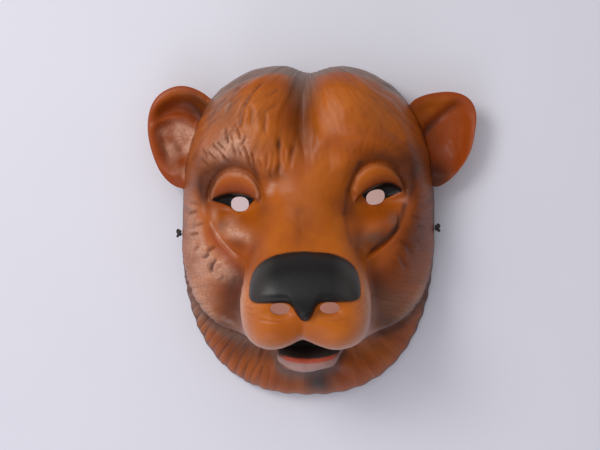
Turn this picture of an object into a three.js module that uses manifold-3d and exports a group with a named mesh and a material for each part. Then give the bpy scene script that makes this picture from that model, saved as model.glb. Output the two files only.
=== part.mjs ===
// A moulded carnival mask of a bear's face, lying on its rim with the face upwards.
// Millimetres. +Z is the way the face looks, +Y the top of the head, +X the right side as one looks at it.
// The origin is in the rim plane, under the middle of the mask.
import * as THREE from 'three';
import { mergeVertices } from 'three/addons/utils/BufferGeometryUtils.js';
import Module from 'manifold-3d';

// Driving dimensions of the moulding
const HEAD = { halfWidth: 80, crown: 105.6, chin: 103.3, crownPower: 2.75, chinPower: 2.3, faceHeight: 57 };
const WALL = 2;

// The outline's power changes from the chin's to the crown's over this stretch of the sine round the middle
const BLEND_OF_ENDS = 0.25;

// Grid cells across the face and across an ear, and the ring past which the rings close up to the rim
const FACE_GRID = { cells: 44, knee: 0.8 };
const EAR_GRID = { cells: 14, knee: 0.7 };

// The grid's rays start from here, on the muzzle
const HUB_Y = -40;

// The rim dips between the two lobes of the crown
const CROWN_DIP = { depth: 5, reach: 11, fullSine: 0.5 };

// How the plain dome of the head falls away to the sides, and to the crown and chin
const DOME = { sideFall: 0.3, sidePower: 2.4, endFall: 0.1, endPower: 2.5, topY: 10, endReach: 95 };

// How far in from the rim the sides finish rounding over, how round they are, and the sines round the middle
// between which the side's shoulder passes into the crown's and into the ruff's
const SHOULDER = { side: 27, crown: 21, ruff: 14, sideRoundness: 2, ruffRoundness: 1.7 };
const SHOULDER_BLEND = { crownFrom: 0.3, crownFull: 0.9, ruffFrom: 0.2, ruffFull: 0.75 };

// Soft swellings and hollows of the face, each with its twin on the other side
const SWELLINGS = [
  { name: 'crown lobe', x: 29, y: 68, reachX: 24, reachY: 27, rise: 11, slant: 0 },
  { name: 'brow', x: 41, y: 50, reachX: 20, reachY: 8, rise: 6, slant: 0.15 },
  { name: 'brow root', x: 22, y: 34, reachX: 8, reachY: 11, rise: 4, slant: 0 },
  { name: 'eye socket', x: 42, y: 18, reachX: 18, reachY: 15, rise: -14, slant: 0 },
  { name: 'lower lid pouch', x: 41, y: 3, reachX: 13, reachY: 10, rise: 9, slant: 0 },
  { name: 'cheek', x: 58, y: -28, reachX: 15, reachY: 27, rise: 7, slant: 0 },
  { name: 'nostril hollow', x: 13, y: -41.5, reachX: 7, reachY: 3.2, rise: -3, slant: 0 },
];

// The groove down the forehead and the groove from the nose to the lip
const FOREHEAD_GROOVE = { depth: 3.5, reach: 5, startY: 38, fullY: 75 };
const LIP_GROOVE = { depth: 1.5, reach: 2.6, startY: -44, fullY: -52 };

// A domed upper lid that ends in a crisp edge over the eye
const UPPER_LID = { x: 41, y: 21, reachX: 19, reachY: 20, rise: 10 };
const LID_EDGE = { x: 40, y: 22, droop: 2.6, reach: 14, softness: 3 };

// The crease that runs from the outer corner of the eye round the pouch
const POUCH_CREASE = {
  x: 35, y: 7, reachX: 18, reachY: 25, depth: 2.5, width: 0.15, innerX: 24, fullX: 34,
};

// The muzzle, a row for each cross-section from the forehead to the lips
const MUZZLE = [
  { y: 80, rise: 0, half: 12, squareness: 2.4 },
  { y: 48, rise: 4, half: 16, squareness: 2.6 },
  { y: 25, rise: 10, half: 21, squareness: 3 },
  { y: 5, rise: 19, half: 25.5, squareness: 4 },
  { y: -10, rise: 30, half: 32, squareness: 5.4 },
  { y: -22, rise: 40, half: 37.5, squareness: 7.5 },
  { y: -36, rise: 46, half: 41.5, squareness: 9 },
  { y: -50, rise: 45, half: 42, squareness: 9 },
  { y: -90, rise: 38, half: 42, squareness: 9 },
];
const MUZZLE_SMOOTHING = 6;
const MUZZLE_END = { y: -40, cleft: 23.5, lobe: 7.5, lobeX: 24, lobeReach: 13, corner: 3.2, crown: 0.08 };
const LIP_LOBE = { x: 20, y: -54, reachX: 13, reachY: 11, rise: 3 };
// The foot of the muzzle is drawn in under its front, so that its walls stand upright
const UNDERCUT = { pull: 0.34, from: 0.72, to: 1.28, startY: 8, fullY: -30, fadeFrom: 0.62 };

const LOWER_LIP = { y: -72, reachX: 24, reachY: 14, rise: 30, squareness: 5, blend: 20 };
const MOUTH = { y: -72, reachX: 19, reachY: 3.4, depth: 9 };

// The raised nose pad: a rounded oval whose lower edge has a tongue in the middle
const NOSE = { y: -31, halfWidth: 30, halfHeight: 20.5, power: 2.6, rise: 5, edge: 4 };
const NOSE_TONGUE = { y: -37.5, length: 10, reach: 6 };

// The cheeks end in a step down to the ruff of fur locks round the jaw
const JAW = { halfWidth: 79, halfHeight: 84, from: 0.92, to: 1.06, drop: 25, startY: -5, fullY: -45 };
const RUFF = { locks: 26, depth: 1.3, lift: 0.6 };

// Dished ears, leaning outwards and wider at the top
const EAR = { x: 78, y: 58, halfWidth: 22, halfHeight: 33, power: 2.3, lean: 13, taper: 0.2 };
const EAR_DISH = { bottom: 7, depth: 13, power: 2.4, topLift: 0.05, halfThickness: 2.2, rimPower: 8 };

// Openings through the wall
const EYE_HOLE = { x: 39.3, y: 18.5, halfWidth: 5.6, halfHeight: 4.4 };
const NOSTRIL = { x: 13.5, y: -41, halfWidth: 5.4, halfHeight: 3 };
const HOLE_CUT = { from: 1, to: 141, curveSegments: 12 };

// The elastic, its side holes and its stopper knots
const CORD = { diameter: 2.2, sides: 8, steps: 52 };
const CORD_HOLE = { wallX: 79.3, y: 1.6, z: 10, diameter: 3.2, length: 20, sides: 12 };
const KNOT = { length: 5, radius: 2.6, gap: 0.3, turns: 3, segments: 10, rings: 9, ridge: 0.35, fullness: 0.7 };

const PAINT = {
  moulding: { color: 0xa85a22, roughness: 0.45, metalness: 0 },
  elastic: { color: 0x1c1917, roughness: 0.8, metalness: 0 },
};

// Vertices closer than this are one, and distances below it count as none
const TOLERANCE = 1e-4;

const wasm = await Module();
wasm.setup();

// Eased step from 0 at one value to 1 at another, either way round
function ease(from, to, value) {
  return THREE.MathUtils.smoothstep(((value - from) / (to - from)), 0, 1);
}

// Bell-shaped swelling of height 1
function bell(dx, dy) {
  return Math.exp(-dx * dx - dy * dy);
}

// Value of one column of the muzzle's rows at a height on the face, averaged over a short stretch
function muzzleRow(column, y) {
  const at = (level) => {
    const below = MUZZLE.findIndex((row) => row.y <= level);
    if (below === 0) return MUZZLE[0][column];
    if (below < 0) return MUZZLE[MUZZLE.length - 1][column];
    const [upper, lower] = [MUZZLE[below - 1], MUZZLE[below]];
    return THREE.MathUtils.mapLinear(level, lower.y, upper.y, lower[column], upper[column]);
  };
  const shifts = [-1, -0.5, 0, 0.5, 1];
  const weights = [0.15, 0.22, 0.26, 0.22, 0.15];
  return shifts.reduce((sum, shift, i) => sum + weights[i] * at(y + shift * MUZZLE_SMOOTHING), 0);
}

// Rim of the mask in plan, at an angle round the middle
function rimPoint(angle) {
  const c = Math.cos(angle);
  const s = Math.sin(angle);
  const power = THREE.MathUtils.lerp(HEAD.chinPower, HEAD.crownPower, ease(-BLEND_OF_ENDS, BLEND_OF_ENDS, s));
  const across = Math.abs(c / HEAD.halfWidth) ** power;
  const along = Math.abs(s / (s > 0 ? HEAD.crown : HEAD.chin)) ** power;
  const radius = (across + along) ** (-1 / power);
  const dip = Math.exp(-((radius * c / CROWN_DIP.reach) ** 2)) * ease(0, CROWN_DIP.fullSine, s);
  return new THREE.Vector2(radius * c, radius * s - CROWN_DIP.depth * dip);
}

// Reach from the muzzle's middle line: 1 half way down its wall
function muzzleReach(x, y) {
  const half = muzzleRow('half', y);
  const lobe = Math.exp(-(((Math.abs(x) - MUZZLE_END.lobeX) / MUZZLE_END.lobeReach) ** 2));
  const end = MUZZLE_END.cleft + MUZZLE_END.lobe * lobe;
  const past = Math.max(MUZZLE_END.y - y, 0);
  const corner = MUZZLE_END.corner;
  return ((Math.abs(x) / half) ** corner + (past / end) ** corner) ** (1 / corner);
}

// Depth inside the nose pad's edge, below 0 outside it
function noseDepth(x, y) {
  const across = Math.abs(x / NOSE.halfWidth) ** NOSE.power;
  const along = Math.abs((y - NOSE.y) / NOSE.halfHeight) ** NOSE.power;
  const oval = (1 - (across + along) ** (1 / NOSE.power)) * NOSE.halfHeight;
  const tongue = NOSE_TONGUE.y - NOSE_TONGUE.length * Math.exp(-((x / NOSE_TONGUE.reach) ** 2));
  return Math.min(oval, y - tongue);
}

// The ruff begins outside the jaw line, on the lower half of the face
function ruffShare(x, y) {
  const jaw = Math.hypot(x / JAW.halfWidth, y / JAW.halfHeight);
  return ease(JAW.from, JAW.to, jaw) * ease(JAW.startY, JAW.fullY, y);
}

function domeHeight(x, y) {
  const side = DOME.sideFall * (Math.abs(x) / HEAD.halfWidth) ** DOME.sidePower;
  const end = DOME.endFall * Math.abs((y - DOME.topY) / DOME.endReach) ** DOME.endPower;
  return HEAD.faceHeight * (1 - side - end);
}

function lidHeight(x, y) {
  const across = (Math.abs(x) - UPPER_LID.x) / UPPER_LID.reachX;
  const along = (y - UPPER_LID.y) / UPPER_LID.reachY;
  const dome = ease(0, 1, 1 - across * across - along * along);
  const edge = LID_EDGE.y - LID_EDGE.droop * ((Math.abs(x) - LID_EDGE.x) / LID_EDGE.reach) ** 2;
  return UPPER_LID.rise * dome * ease(-LID_EDGE.softness, LID_EDGE.softness, y - edge);
}

function creaseDepth(x, y) {
  const across = (Math.abs(x) - POUCH_CREASE.x) / POUCH_CREASE.reachX;
  const along = (y - POUCH_CREASE.y) / POUCH_CREASE.reachY;
  const line = (Math.hypot(across, along) - 1) / POUCH_CREASE.width;
  const below = ease(2 * POUCH_CREASE.y, POUCH_CREASE.y / 2, y);
  const outer = ease(POUCH_CREASE.innerX, POUCH_CREASE.fullX, Math.abs(x));
  return POUCH_CREASE.depth * Math.exp(-line * line) * below * outer;
}

// Muzzle and lower lip, joined by a soft valley that holds the mouth
function muzzleHeight(x, y) {
  const reach = muzzleReach(x, y);
  const crowned = 1 - MUZZLE_END.crown * Math.min(reach, 1) ** 2;
  const block = muzzleRow('rise', y) / (1 + reach ** muzzleRow('squareness', y)) * crowned;
  const lobe = bell((Math.abs(x) - LIP_LOBE.x) / LIP_LOBE.reachX, (y - LIP_LOBE.y) / LIP_LOBE.reachY);
  const upper = block + LIP_LOBE.rise * lobe;
  const lipReach = Math.hypot(x / LOWER_LIP.reachX, (y - LOWER_LIP.y) / LOWER_LIP.reachY);
  const lower = LOWER_LIP.rise / (1 + lipReach ** LOWER_LIP.squareness);
  const overlap = Math.max(LOWER_LIP.blend - Math.abs(upper - lower), 0);
  const joined = Math.max(upper, lower) + overlap ** 2 / (4 * LOWER_LIP.blend);
  return joined - MOUTH.depth * Math.exp(-((x / MOUTH.reachX) ** 4) - ((y - MOUTH.y) / MOUTH.reachY) ** 2);
}

// Height of the face over the rim plane, before its sides round down to the rim
function faceHeight(x, y) {
  let z = domeHeight(x, y) + lidHeight(x, y) - creaseDepth(x, y) + muzzleHeight(x, y);
  for (const swelling of SWELLINGS) {
    const dx = Math.abs(x) - swelling.x;
    const dy = y - swelling.y + swelling.slant * dx;
    z += swelling.rise * bell(dx / swelling.reachX, dy / swelling.reachY);
  }
  const grooves = [FOREHEAD_GROOVE, LIP_GROOVE];
  for (const groove of grooves) {
    z -= groove.depth * Math.exp(-((x / groove.reach) ** 2)) * ease(groove.startY, groove.fullY, y);
  }
  z += NOSE.rise * ease(0, NOSE.edge, noseDepth(x, y));
  return z - JAW.drop * ruffShare(x, y);
}

// 0 at the rim, rounding up to 1 inside the shoulder
function shoulder(angle, inset) {
  const s = Math.sin(angle);
  const ruff = ease(SHOULDER_BLEND.ruffFrom, SHOULDER_BLEND.ruffFull, -s);
  const crown = ease(SHOULDER_BLEND.crownFrom, SHOULDER_BLEND.crownFull, s);
  let reach = THREE.MathUtils.lerp(SHOULDER.side, SHOULDER.ruff, ruff);
  reach = THREE.MathUtils.lerp(reach, SHOULDER.crown, crown);
  const roundness = THREE.MathUtils.lerp(SHOULDER.sideRoundness, SHOULDER.ruffRoundness, ruff);
  const left = 1 - Math.min(inset / reach, 1);
  return (1 - left ** roundness) ** (1 / roundness);
}

// A point of the outer face, along the ray from the muzzle's middle to the rim
function facePoint(share, angle) {
  const rim = rimPoint(angle);
  const ray = new THREE.Vector2(rim.x, rim.y - HUB_Y);
  let x = share * ray.x;
  let y = HUB_Y + share * ray.y;
  const rounding = shoulder(angle, (1 - share) * ray.length());
  const z = faceHeight(x, y) * rounding;
  const ruff = ruffShare(x, y);
  const reach = Math.max(muzzleReach(x, y), TOLERANCE);
  const walls = ease(UNDERCUT.from, UNDERCUT.to, reach) * ease(1, UNDERCUT.fadeFrom, share);
  const gain = 1 - UNDERCUT.pull * walls * ease(UNDERCUT.startY, UNDERCUT.fullY, y) / reach;
  y += Math.max(MUZZLE_END.y - y, 0) * (1 - gain);
  x *= gain;
  const lock = RUFF.depth * ruff * Math.cos(2 * RUFF.locks * angle);
  ray.normalize();
  return new THREE.Vector3(x + lock * ray.x, y + lock * ray.y, z + lock * RUFF.lift * rounding);
}

// Even rings inside the knee, closing up towards the rim
function spread(ring, knee) {
  const gain = 1 / (1 - knee * knee);
  return ring < knee ? 2 * gain * (1 - knee) * ring : 1 - gain * (1 - ring) ** 2;
}

// Square grid bent into a disc, with its corners on the X and Y axes: calls back with each point's share of
// the way out to the rim and its angle, row by row
function discGrid({ cells, knee }, point) {
  const points = [];
  for (let row = 0; row <= cells; row += 1) {
    for (let column = 0; column <= cells; column += 1) {
      const a = 2 * column / cells - 1;
      const b = 2 * row / cells - 1;
      const ring = Math.max(Math.abs(a), Math.abs(b));
      const upright = Math.abs(a) < Math.abs(b);
      const turn = upright ? Math.PI / 2 - (Math.PI / 4) * (a / b) : (Math.PI / 4) * (b / (a || 1));
      const half = (upright ? b : a) < 0 ? Math.PI : 0;
      points.push(point(spread(ring, knee), turn + half + Math.PI / 4));
    }
  }
  return points;
}

// Triangles of a square grid, split along the grid's own diagonals and elsewhere along the shorter way
function gridTriangles(cells, points) {
  const triangles = [];
  for (let row = 0; row < cells; row += 1) {
    for (let column = 0; column < cells; column += 1) {
      const a = row * (cells + 1) + column;
      const b = a + 1;
      const c = b + cells + 1;
      const d = c - 1;
      const shorter = points[a].distanceTo(points[c]) < points[b].distanceTo(points[d]);
      const onRising = row === column;
      const onFalling = row + column === cells - 1;
      if (onRising || (shorter && !onFalling)) triangles.push(a, b, c, a, c, d);
      else triangles.push(a, b, d, b, c, d);
    }
  }
  return triangles;
}

// Indices round the border of a square grid, anticlockwise
function gridBorder(cells) {
  const size = cells + 1;
  const line = [...Array(cells).keys()];
  return [
    ...line,
    ...line.map((i) => i * size + cells),
    ...line.map((i) => size * size - 1 - i),
    ...line.map((i) => (cells - i) * size),
  ];
}

function geometryOf(points, triangles) {
  const geometry = new THREE.BufferGeometry().setFromPoints(points);
  geometry.setIndex(triangles);
  return geometry;
}

// Solid under a domed grid, closed by a flat fan on its border
function solidUnder(cells, points) {
  const triangles = gridTriangles(cells, points);
  const border = gridBorder(cells);
  const middle = new THREE.Vector3();
  for (const index of border) middle.addScaledVector(points[index], 1 / border.length);
  const centre = points.length;
  border.forEach((index, i) => triangles.push(border[(i + 1) % border.length], index, centre));
  return toSolid(geometryOf([...points, middle], triangles));
}

function toSolid(geometry) {
  const bare = geometry.clone();
  bare.deleteAttribute('normal');
  bare.deleteAttribute('uv');
  const merged = mergeVertices(bare, TOLERANCE);
  const vertProperties = Float32Array.from(merged.attributes.position.array);
  const triVerts = Uint32Array.from(merged.index.array);
  return new wasm.Manifold(new wasm.Mesh({ numProp: 3, vertProperties, triVerts }));
}

function fromSolid(solid) {
  const { vertProperties, triVerts } = solid.getMesh();
  const geometry = new THREE.BufferGeometry();
  geometry.setAttribute('position', new THREE.BufferAttribute(Float32Array.from(vertProperties), 3));
  geometry.setIndex(new THREE.BufferAttribute(Uint32Array.from(triVerts), 1));
  geometry.computeVertexNormals();
  return geometry;
}

// Outer face, and the hollow that leaves the wall's thickness behind it
function faceSolids() {
  const { cells } = FACE_GRID;
  const outer = discGrid(FACE_GRID, facePoint);
  const skin = geometryOf(outer, gridTriangles(cells, outer));
  skin.computeVertexNormals();
  const normals = skin.attributes.normal;
  const inner = outer.map((point, i) => {
    const normal = new THREE.Vector3().fromBufferAttribute(normals, i);
    return point.clone().addScaledVector(normal, -WALL);
  });
  for (const index of gridBorder(cells)) {
    const { x, y } = outer[index];
    const inset = 1 - WALL / Math.hypot(x, y);
    inner[index].set(x * inset, y * inset, -WALL);
  }
  return { outer: solidUnder(cells, outer), hollow: solidUnder(cells, inner) };
}

// A dished ear: the same oval for its front and its back, meeting in a rounded rim
function earSolid(side) {
  const lean = THREE.MathUtils.degToRad(EAR.lean);
  const sheet = (face) => discGrid(EAR_GRID, (share, angle) => {
    const across = Math.abs(Math.cos(angle) / EAR.halfWidth) ** EAR.power;
    const along = Math.abs(Math.sin(angle) / EAR.halfHeight) ** EAR.power;
    const radius = share * (across + along) ** (-1 / EAR.power);
    const v = radius * Math.sin(angle);
    const u = radius * Math.cos(angle) * (1 + EAR.taper * v / EAR.halfHeight);
    const dish = EAR_DISH.bottom + EAR_DISH.depth * share ** EAR_DISH.power + EAR_DISH.topLift * v;
    const thickness = EAR_DISH.halfThickness * Math.sqrt(1 - share ** EAR_DISH.rimPower);
    const x = EAR.x + u * Math.cos(lean) + v * Math.sin(lean);
    const y = EAR.y - u * Math.sin(lean) + v * Math.cos(lean);
    return new THREE.Vector3(side * x, y, dish + face * thickness);
  });
  const front = sheet(1);
  const back = sheet(-1);
  const frontTriangles = gridTriangles(EAR_GRID.cells, front);
  const backTriangles = gridTriangles(EAR_GRID.cells, back).map((index) => index + front.length).reverse();
  const triangles = [...frontTriangles, ...backTriangles];
  return toSolid(geometryOf([...front, ...back], side > 0 ? triangles : triangles.reverse()));
}

// Straight oval cutter through the wall, along Z
function ovalCutter({ x, y, halfWidth, halfHeight }, side) {
  const oval = new THREE.Shape().absellipse(0, 0, halfWidth, halfHeight, 0, Math.PI * 2);
  const depth = HOLE_CUT.to - HOLE_CUT.from;
  const { curveSegments } = HOLE_CUT;
  const cutter = new THREE.ExtrudeGeometry(oval, { depth, curveSegments, bevelEnabled: false });
  return toSolid(cutter.translate(side * x, y, HOLE_CUT.from));
}

// Round cutter along X for the elastic's side hole
function cordCutter(side) {
  const { wallX, y, z, diameter, length, sides } = CORD_HOLE;
  const cutter = new THREE.CylinderGeometry(diameter / 2, diameter / 2, length, sides);
  return toSolid(cutter.rotateZ(Math.PI / 2).translate(side * wallX, y, z));
}

function faceShell() {
  const { outer, hollow } = faceSolids();
  let shell = outer.add(earSolid(-1)).add(earSolid(1)).subtract(hollow);
  for (const side of [-1, 1]) {
    shell = shell.subtract(ovalCutter(EYE_HOLE, side));
    shell = shell.subtract(ovalCutter(NOSTRIL, side));
    shell = shell.subtract(cordCutter(side));
  }
  return fromSolid(shell);
}

// Half of the elastic's route, from a side hole to the middle, laid on the floor inside the mask
const CORD_ROUTE = [
  { x: 79.1, y: 1.6, z: 10 },
  { x: 75, y: 1.5, z: 10 },
  { x: 71, y: 0.6, z: 9.2 },
  { x: 67, y: -1.5, z: 6.8 },
  { x: 63, y: -5, z: 3.8 },
  { x: 59.5, y: -9.5, z: 1.9 },
  { x: 56.5, y: -15, z: 1.3 },
  { x: 53, y: -23, z: 1.3 },
  { x: 48.5, y: -32, z: 1.3 },
  { x: 43, y: -41, z: 1.3 },
  { x: 36, y: -50, z: 1.3 },
  { x: 27.5, y: -58, z: 1.3 },
  { x: 18, y: -64, z: 1.3 },
  { x: 9, y: -67.2, z: 1.3 },
];
const CORD_MIDDLE = { x: 0, y: -68.2, z: 1.3 };

function elasticCord() {
  const toPoint = (side) => ({ x, y, z }) => new THREE.Vector3(side * x, y, z);
  const route = [
    ...CORD_ROUTE.map(toPoint(-1)),
    toPoint(1)(CORD_MIDDLE),
    ...CORD_ROUTE.map(toPoint(1)).reverse(),
  ];
  const path = new THREE.CatmullRomCurve3(route, false, 'centripetal');
  const section = new THREE.Shape();
  for (let i = 0; i < CORD.sides; i += 1) {
    const angle = 2 * Math.PI * i / CORD.sides;
    const x = CORD.diameter / 2 * Math.cos(angle);
    const y = CORD.diameter / 2 * Math.sin(angle);
    if (i === 0) section.moveTo(x, y);
    else section.lineTo(x, y);
  }
  section.closePath();
  return new THREE.ExtrudeGeometry(section, { steps: CORD.steps, extrudePath: path, bevelEnabled: false });
}

// A stopper knot: a small barrel with the ridges of its turns, lying against the wall
function stopperKnot() {
  const profile = [new THREE.Vector2(0, -KNOT.length / 2)];
  for (let i = 1; i < KNOT.rings; i += 1) {
    const t = i / KNOT.rings;
    const round = Math.sqrt(1 - (2 * t - 1) ** 2) ** KNOT.fullness;
    const ridge = KNOT.ridge * Math.abs(Math.sin(KNOT.turns * Math.PI * t));
    profile.push(new THREE.Vector2((KNOT.radius - KNOT.ridge) * round + ridge, (t - 0.5) * KNOT.length));
  }
  profile.push(new THREE.Vector2(0, KNOT.length / 2));
  return new THREE.LatheGeometry(profile, KNOT.segments).rotateZ(Math.PI / 2);
}

function addPiece(group, name, geometry, paint) {
  const mesh = new THREE.Mesh(geometry, new THREE.MeshStandardMaterial(paint));
  mesh.name = name;
  group.add(mesh);
  return mesh;
}

const mask = new THREE.Group();
addPiece(mask, 'face_shell', faceShell(), PAINT.moulding);
addPiece(mask, 'elastic_cord', elasticCord(), PAINT.elastic);
const knotX = CORD_HOLE.wallX + KNOT.gap + KNOT.length / 2;
addPiece(mask, 'knot_left', stopperKnot(), PAINT.elastic).position.set(-knotX, CORD_HOLE.y, CORD_HOLE.z);
addPiece(mask, 'knot_right', stopperKnot(), PAINT.elastic).position.set(knotX, CORD_HOLE.y, CORD_HOLE.z);

export default mask;
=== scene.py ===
from math import cos, pi, radians, sin

import bpy
import numpy as np
from mathutils import Matrix, Vector


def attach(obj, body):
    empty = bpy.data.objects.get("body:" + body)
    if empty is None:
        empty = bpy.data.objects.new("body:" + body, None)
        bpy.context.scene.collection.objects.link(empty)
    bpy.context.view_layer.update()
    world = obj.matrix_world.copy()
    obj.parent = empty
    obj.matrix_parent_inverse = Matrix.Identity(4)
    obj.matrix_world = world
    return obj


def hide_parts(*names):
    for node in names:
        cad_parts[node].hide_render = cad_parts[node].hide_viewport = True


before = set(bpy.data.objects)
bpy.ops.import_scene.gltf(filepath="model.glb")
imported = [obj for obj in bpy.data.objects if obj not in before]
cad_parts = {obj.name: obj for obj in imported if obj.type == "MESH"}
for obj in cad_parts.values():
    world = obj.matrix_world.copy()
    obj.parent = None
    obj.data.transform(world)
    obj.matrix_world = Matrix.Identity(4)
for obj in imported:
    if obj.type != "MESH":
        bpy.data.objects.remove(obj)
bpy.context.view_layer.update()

bl_info = {
    "name": "Bear Mask",
    "version": (1, 0, 0),
    "blender": (4, 5, 0),
    "location": "View3D > Sidebar > Bear Mask",
    "description": "Moulded and painted carnival mask of a bear's face, with its elastic",
    "category": "Add Mesh",
}

# The frame is in metres. The mask's own sizes below are in millimetres, with +Z the way the face looks,
# +Y the top of the head and +X the right side as one looks at it.
MM = 0.001
BODY = "root"

# Grid cells across the outer face, across the hollow behind it and across an ear, with the ring past which
# the rings close up to the rim
FACE_GRID = {"cells": 280, "knee": 0.8}
HOLLOW_GRID = {"cells": 64, "knee": 0.8}
EAR_GRID = {"cells": 40, "knee": 0.7}

# The grid's rays start from here, on the muzzle
HUB_Y = -40.0

# Outline of the rim: powers of its two ovals, how far it leans to the right in degrees, and the dip between
# the lobes of the crown
OUTLINE = {"crown_power": 2.75, "chin_power": 2.42, "blend": 0.25, "lean": 2.0}
CROWN_DIP = {"depth": 5.0, "reach": 11.0, "full_sine": 0.5}

# How the plain dome of the head falls away to the sides, and to the crown and chin
DOME = {"side_fall": 0.3, "side_power": 2.4, "end_fall": 0.1, "end_power": 2.5, "top_y": 10.0, "reach": 95.0}

# How far in from the rim the sides finish rounding over, and how round they are
SHOULDER = {"side": 27.0, "crown": 21.0, "ruff": 14.0, "side_round": 2.0, "ruff_round": 1.7}
SHOULDER_BLEND = {"crown": (0.3, 0.9), "ruff": (0.2, 0.75)}

# Soft swellings and hollows of the face: name, x, y, reach in x, reach in y, rise, slant
SWELLINGS = (
    ("crown lobe", 29.0, 68.0, 24.0, 27.0, 11.0, 0.0),
    ("brow", 41.0, 50.0, 20.0, 8.0, 6.0, 0.15),
    ("brow root", 22.0, 34.0, 8.0, 11.0, 4.0, 0.0),
    ("eye socket", 42.0, 18.0, 18.0, 15.0, -14.0, 0.0),
    ("lower lid pouch", 41.0, 3.0, 13.0, 10.0, 9.0, 0.0),
    ("cheek", 58.0, -28.0, 15.0, 27.0, 7.0, 0.0),
    ("nostril hollow", 13.0, -41.5, 7.0, 3.2, -3.0, 0.0),
)

# Grooves on the middle line: x, depth, reach, where they start and where they are full
GROOVES = ((0.0, 6.0, 7.5, 34.0, 72.0), (-1.0, 0.7, 2.6, -44.0, -52.0))
GROOVES_END = (-78.0, -72.0)

# The muzzle, a row for each cross-section: y, rise, half width, squareness
MUZZLE = np.array([
    (-90.0, 38.0, 43.5, 9.0),
    (-50.0, 45.0, 44.0, 9.0),
    (-36.0, 46.0, 44.5, 9.0),
    (-22.0, 40.0, 41.0, 7.5),
    (-10.0, 30.0, 34.0, 5.4),
    (5.0, 19.0, 26.0, 4.0),
    (25.0, 10.0, 21.0, 3.0),
    (48.0, 4.0, 16.0, 2.6),
    (80.0, 0.0, 12.0, 2.4),
])
RISE, HALF_WIDTH, SQUARENESS = 1, 2, 3
MUZZLE_SMOOTHING = 6.0

# Its lower end: the level where its two lobes start, how far they reach at the cleft and past it, how round
# the cleft and the corners are, and how much the front is crowned. Then the bells on the upper lips, how its
# foot is drawn in under the front, the lower lip and the mouth.
MUZZLE_END = {"y": -40.0, "cleft": 23.0, "cleft_x": -2.0, "lobe": 10.5, "reach": 8.0, "point": 2.0,
              "corner": 3.2, "crown": 0.08}
LIP_LOBE = {"x": 20.0, "y": -54.0, "reach_x": 13.0, "reach_y": 11.0, "rise": 3.0}
UNDERCUT = {"pull": 0.34, "walls": (0.72, 1.28), "rows": (8.0, -30.0), "fade_from": 0.62, "point": 12.0}
LOWER_LIP = {"y": -82.0, "curl": 0.6, "curl_x": 18.0, "reach_x": 26.0, "reach_y": 7.0, "rise": 18.0,
             "corner": 4.0, "squareness": 4.0, "blend": 5.0}
MOUTH = {"y": -74.5, "curl": 0.4, "reach_x": 23.0, "reach_y": 3.6, "depth": 5.0}

# How the inside of the wall keeps clear of the mouth: the muzzle's end is drawn up, and a hollow is taken off
MOUTH_INSIDE = {"draw_up": 5.0, "rows": (-40.0, -55.0), "hollow": 12.0, "reach_x": 29.9, "reach_y": 11.0}

# The raised nose pad: a rounded oval whose lower edge has a tongue in the middle
NOSE = {"y": -30.5, "half_width": 30.0, "half_height": 20.5, "power": 2.5, "rise": 5.5, "edge": 11.0,
        "corner": 4.0, "lower_edge": 6.0}
NOSE_TONGUE = {"y": -37.0, "length": 10.0, "reach": 5.8, "power": 2.7}

# The cheeks end in a step down to the ruff of fur locks round the jaw
JAW = {"half_width": 80.0, "half_height": 75.0, "chin": 89.0, "chin_x": (36.0, 16.0), "power": 2.5,
       "step": (0.96, 0.995), "drop": 26.0, "rows": (-5.0, -40.0), "early": 1.08}
CHEEK_FOLD = {"at": 0.945, "width": 0.026, "rise": 2.2, "columns": (20.0, 40.0)}
RUFF = {"locks": 26, "depth": 0.3, "lift": 0.6, "lip_clear": (28.0, 38.0), "lip_stretch": 1.7}

# The eye: the domed upper lid with a crease over it, its edge over the eye, the lower lid, how far each eye
# is shifted, and the crease round the pouch under it. The edge has a middle, a level and two reaches a side.
LID = {"x": 41.5, "y": 21.0, "reach_x": 15.8, "reach_y": 17.2, "rise": 9.8, "fullness": 0.62, "soft": 0.15}
LID_CREASE = {"depth": 1.2, "at": 1.06, "width": 0.07, "rows": (19.0, 24.0)}
LID_EDGE = {"left": (43.0, 24.6, 14.0, 14.0), "right": (47.0, 26.2, 12.8, 9.2), "droop": 4.2, "softness": 1.0}
LID_INSIDE = {"share": 0.5, "edge": (-1.0, 7.0)}
LOWER_LID = {"x": 40.0, "y": 13.7, "rise": 5.4, "inner": 8.6, "left": 11.0, "right": 9.0,
             "powers": (1.3, 0.7), "ridge": 1.2, "below": 0.8, "width": 1.6, "ends": (19.0, 13.0)}
EYE_SHIFT = {"left": (-0.2, -0.6), "right": (2.3, 1.8), "reach": 34.0}
POUCH_CREASE = {"x": 35.0, "y": 7.0, "reach_x": 18.5, "reach_y": 23.0, "left": 1.0, "right": 2.2,
                "width": 0.07, "rows": (13.0, 4.0), "columns": (30.0, 40.0)}

# Seeds of the noises, and the cells of the lattice that they are drawn on
SEEDS = {"wrinkle x": 11, "wrinkle y": 12, "crown bend": 22, "crown broad": 32, "crown fine": 42,
         "face bend": 24, "face broad": 34, "face fine": 44, "ruff phase": 27, "ruff fine": 28,
         "ruff strength": 29, "dimples": 31, "waves": 32, "ripples": 33, "ear grain": 41, "ear streaks": 42,
         "ear blush": 43, "crown band": 51, "crumple bend": 61, "crumple": 62}
LATTICE = 64


def ease(start, end, value):
    """Eased step from 0 at one value to 1 at another, either way round: 3 t squared less 2 t cubed."""
    t = np.clip((value - start) / (end - start), 0.0, 1.0)
    return t * t * (3.0 - 2.0 * t)


def bell(dx, dy=0.0):
    """Bell of height 1: the exponential of minus the squared distance."""
    return np.exp(-dx * dx - dy * dy)


def mix(a, b, share):
    """Straight mix of two values."""
    return a + (b - a) * share


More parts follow.
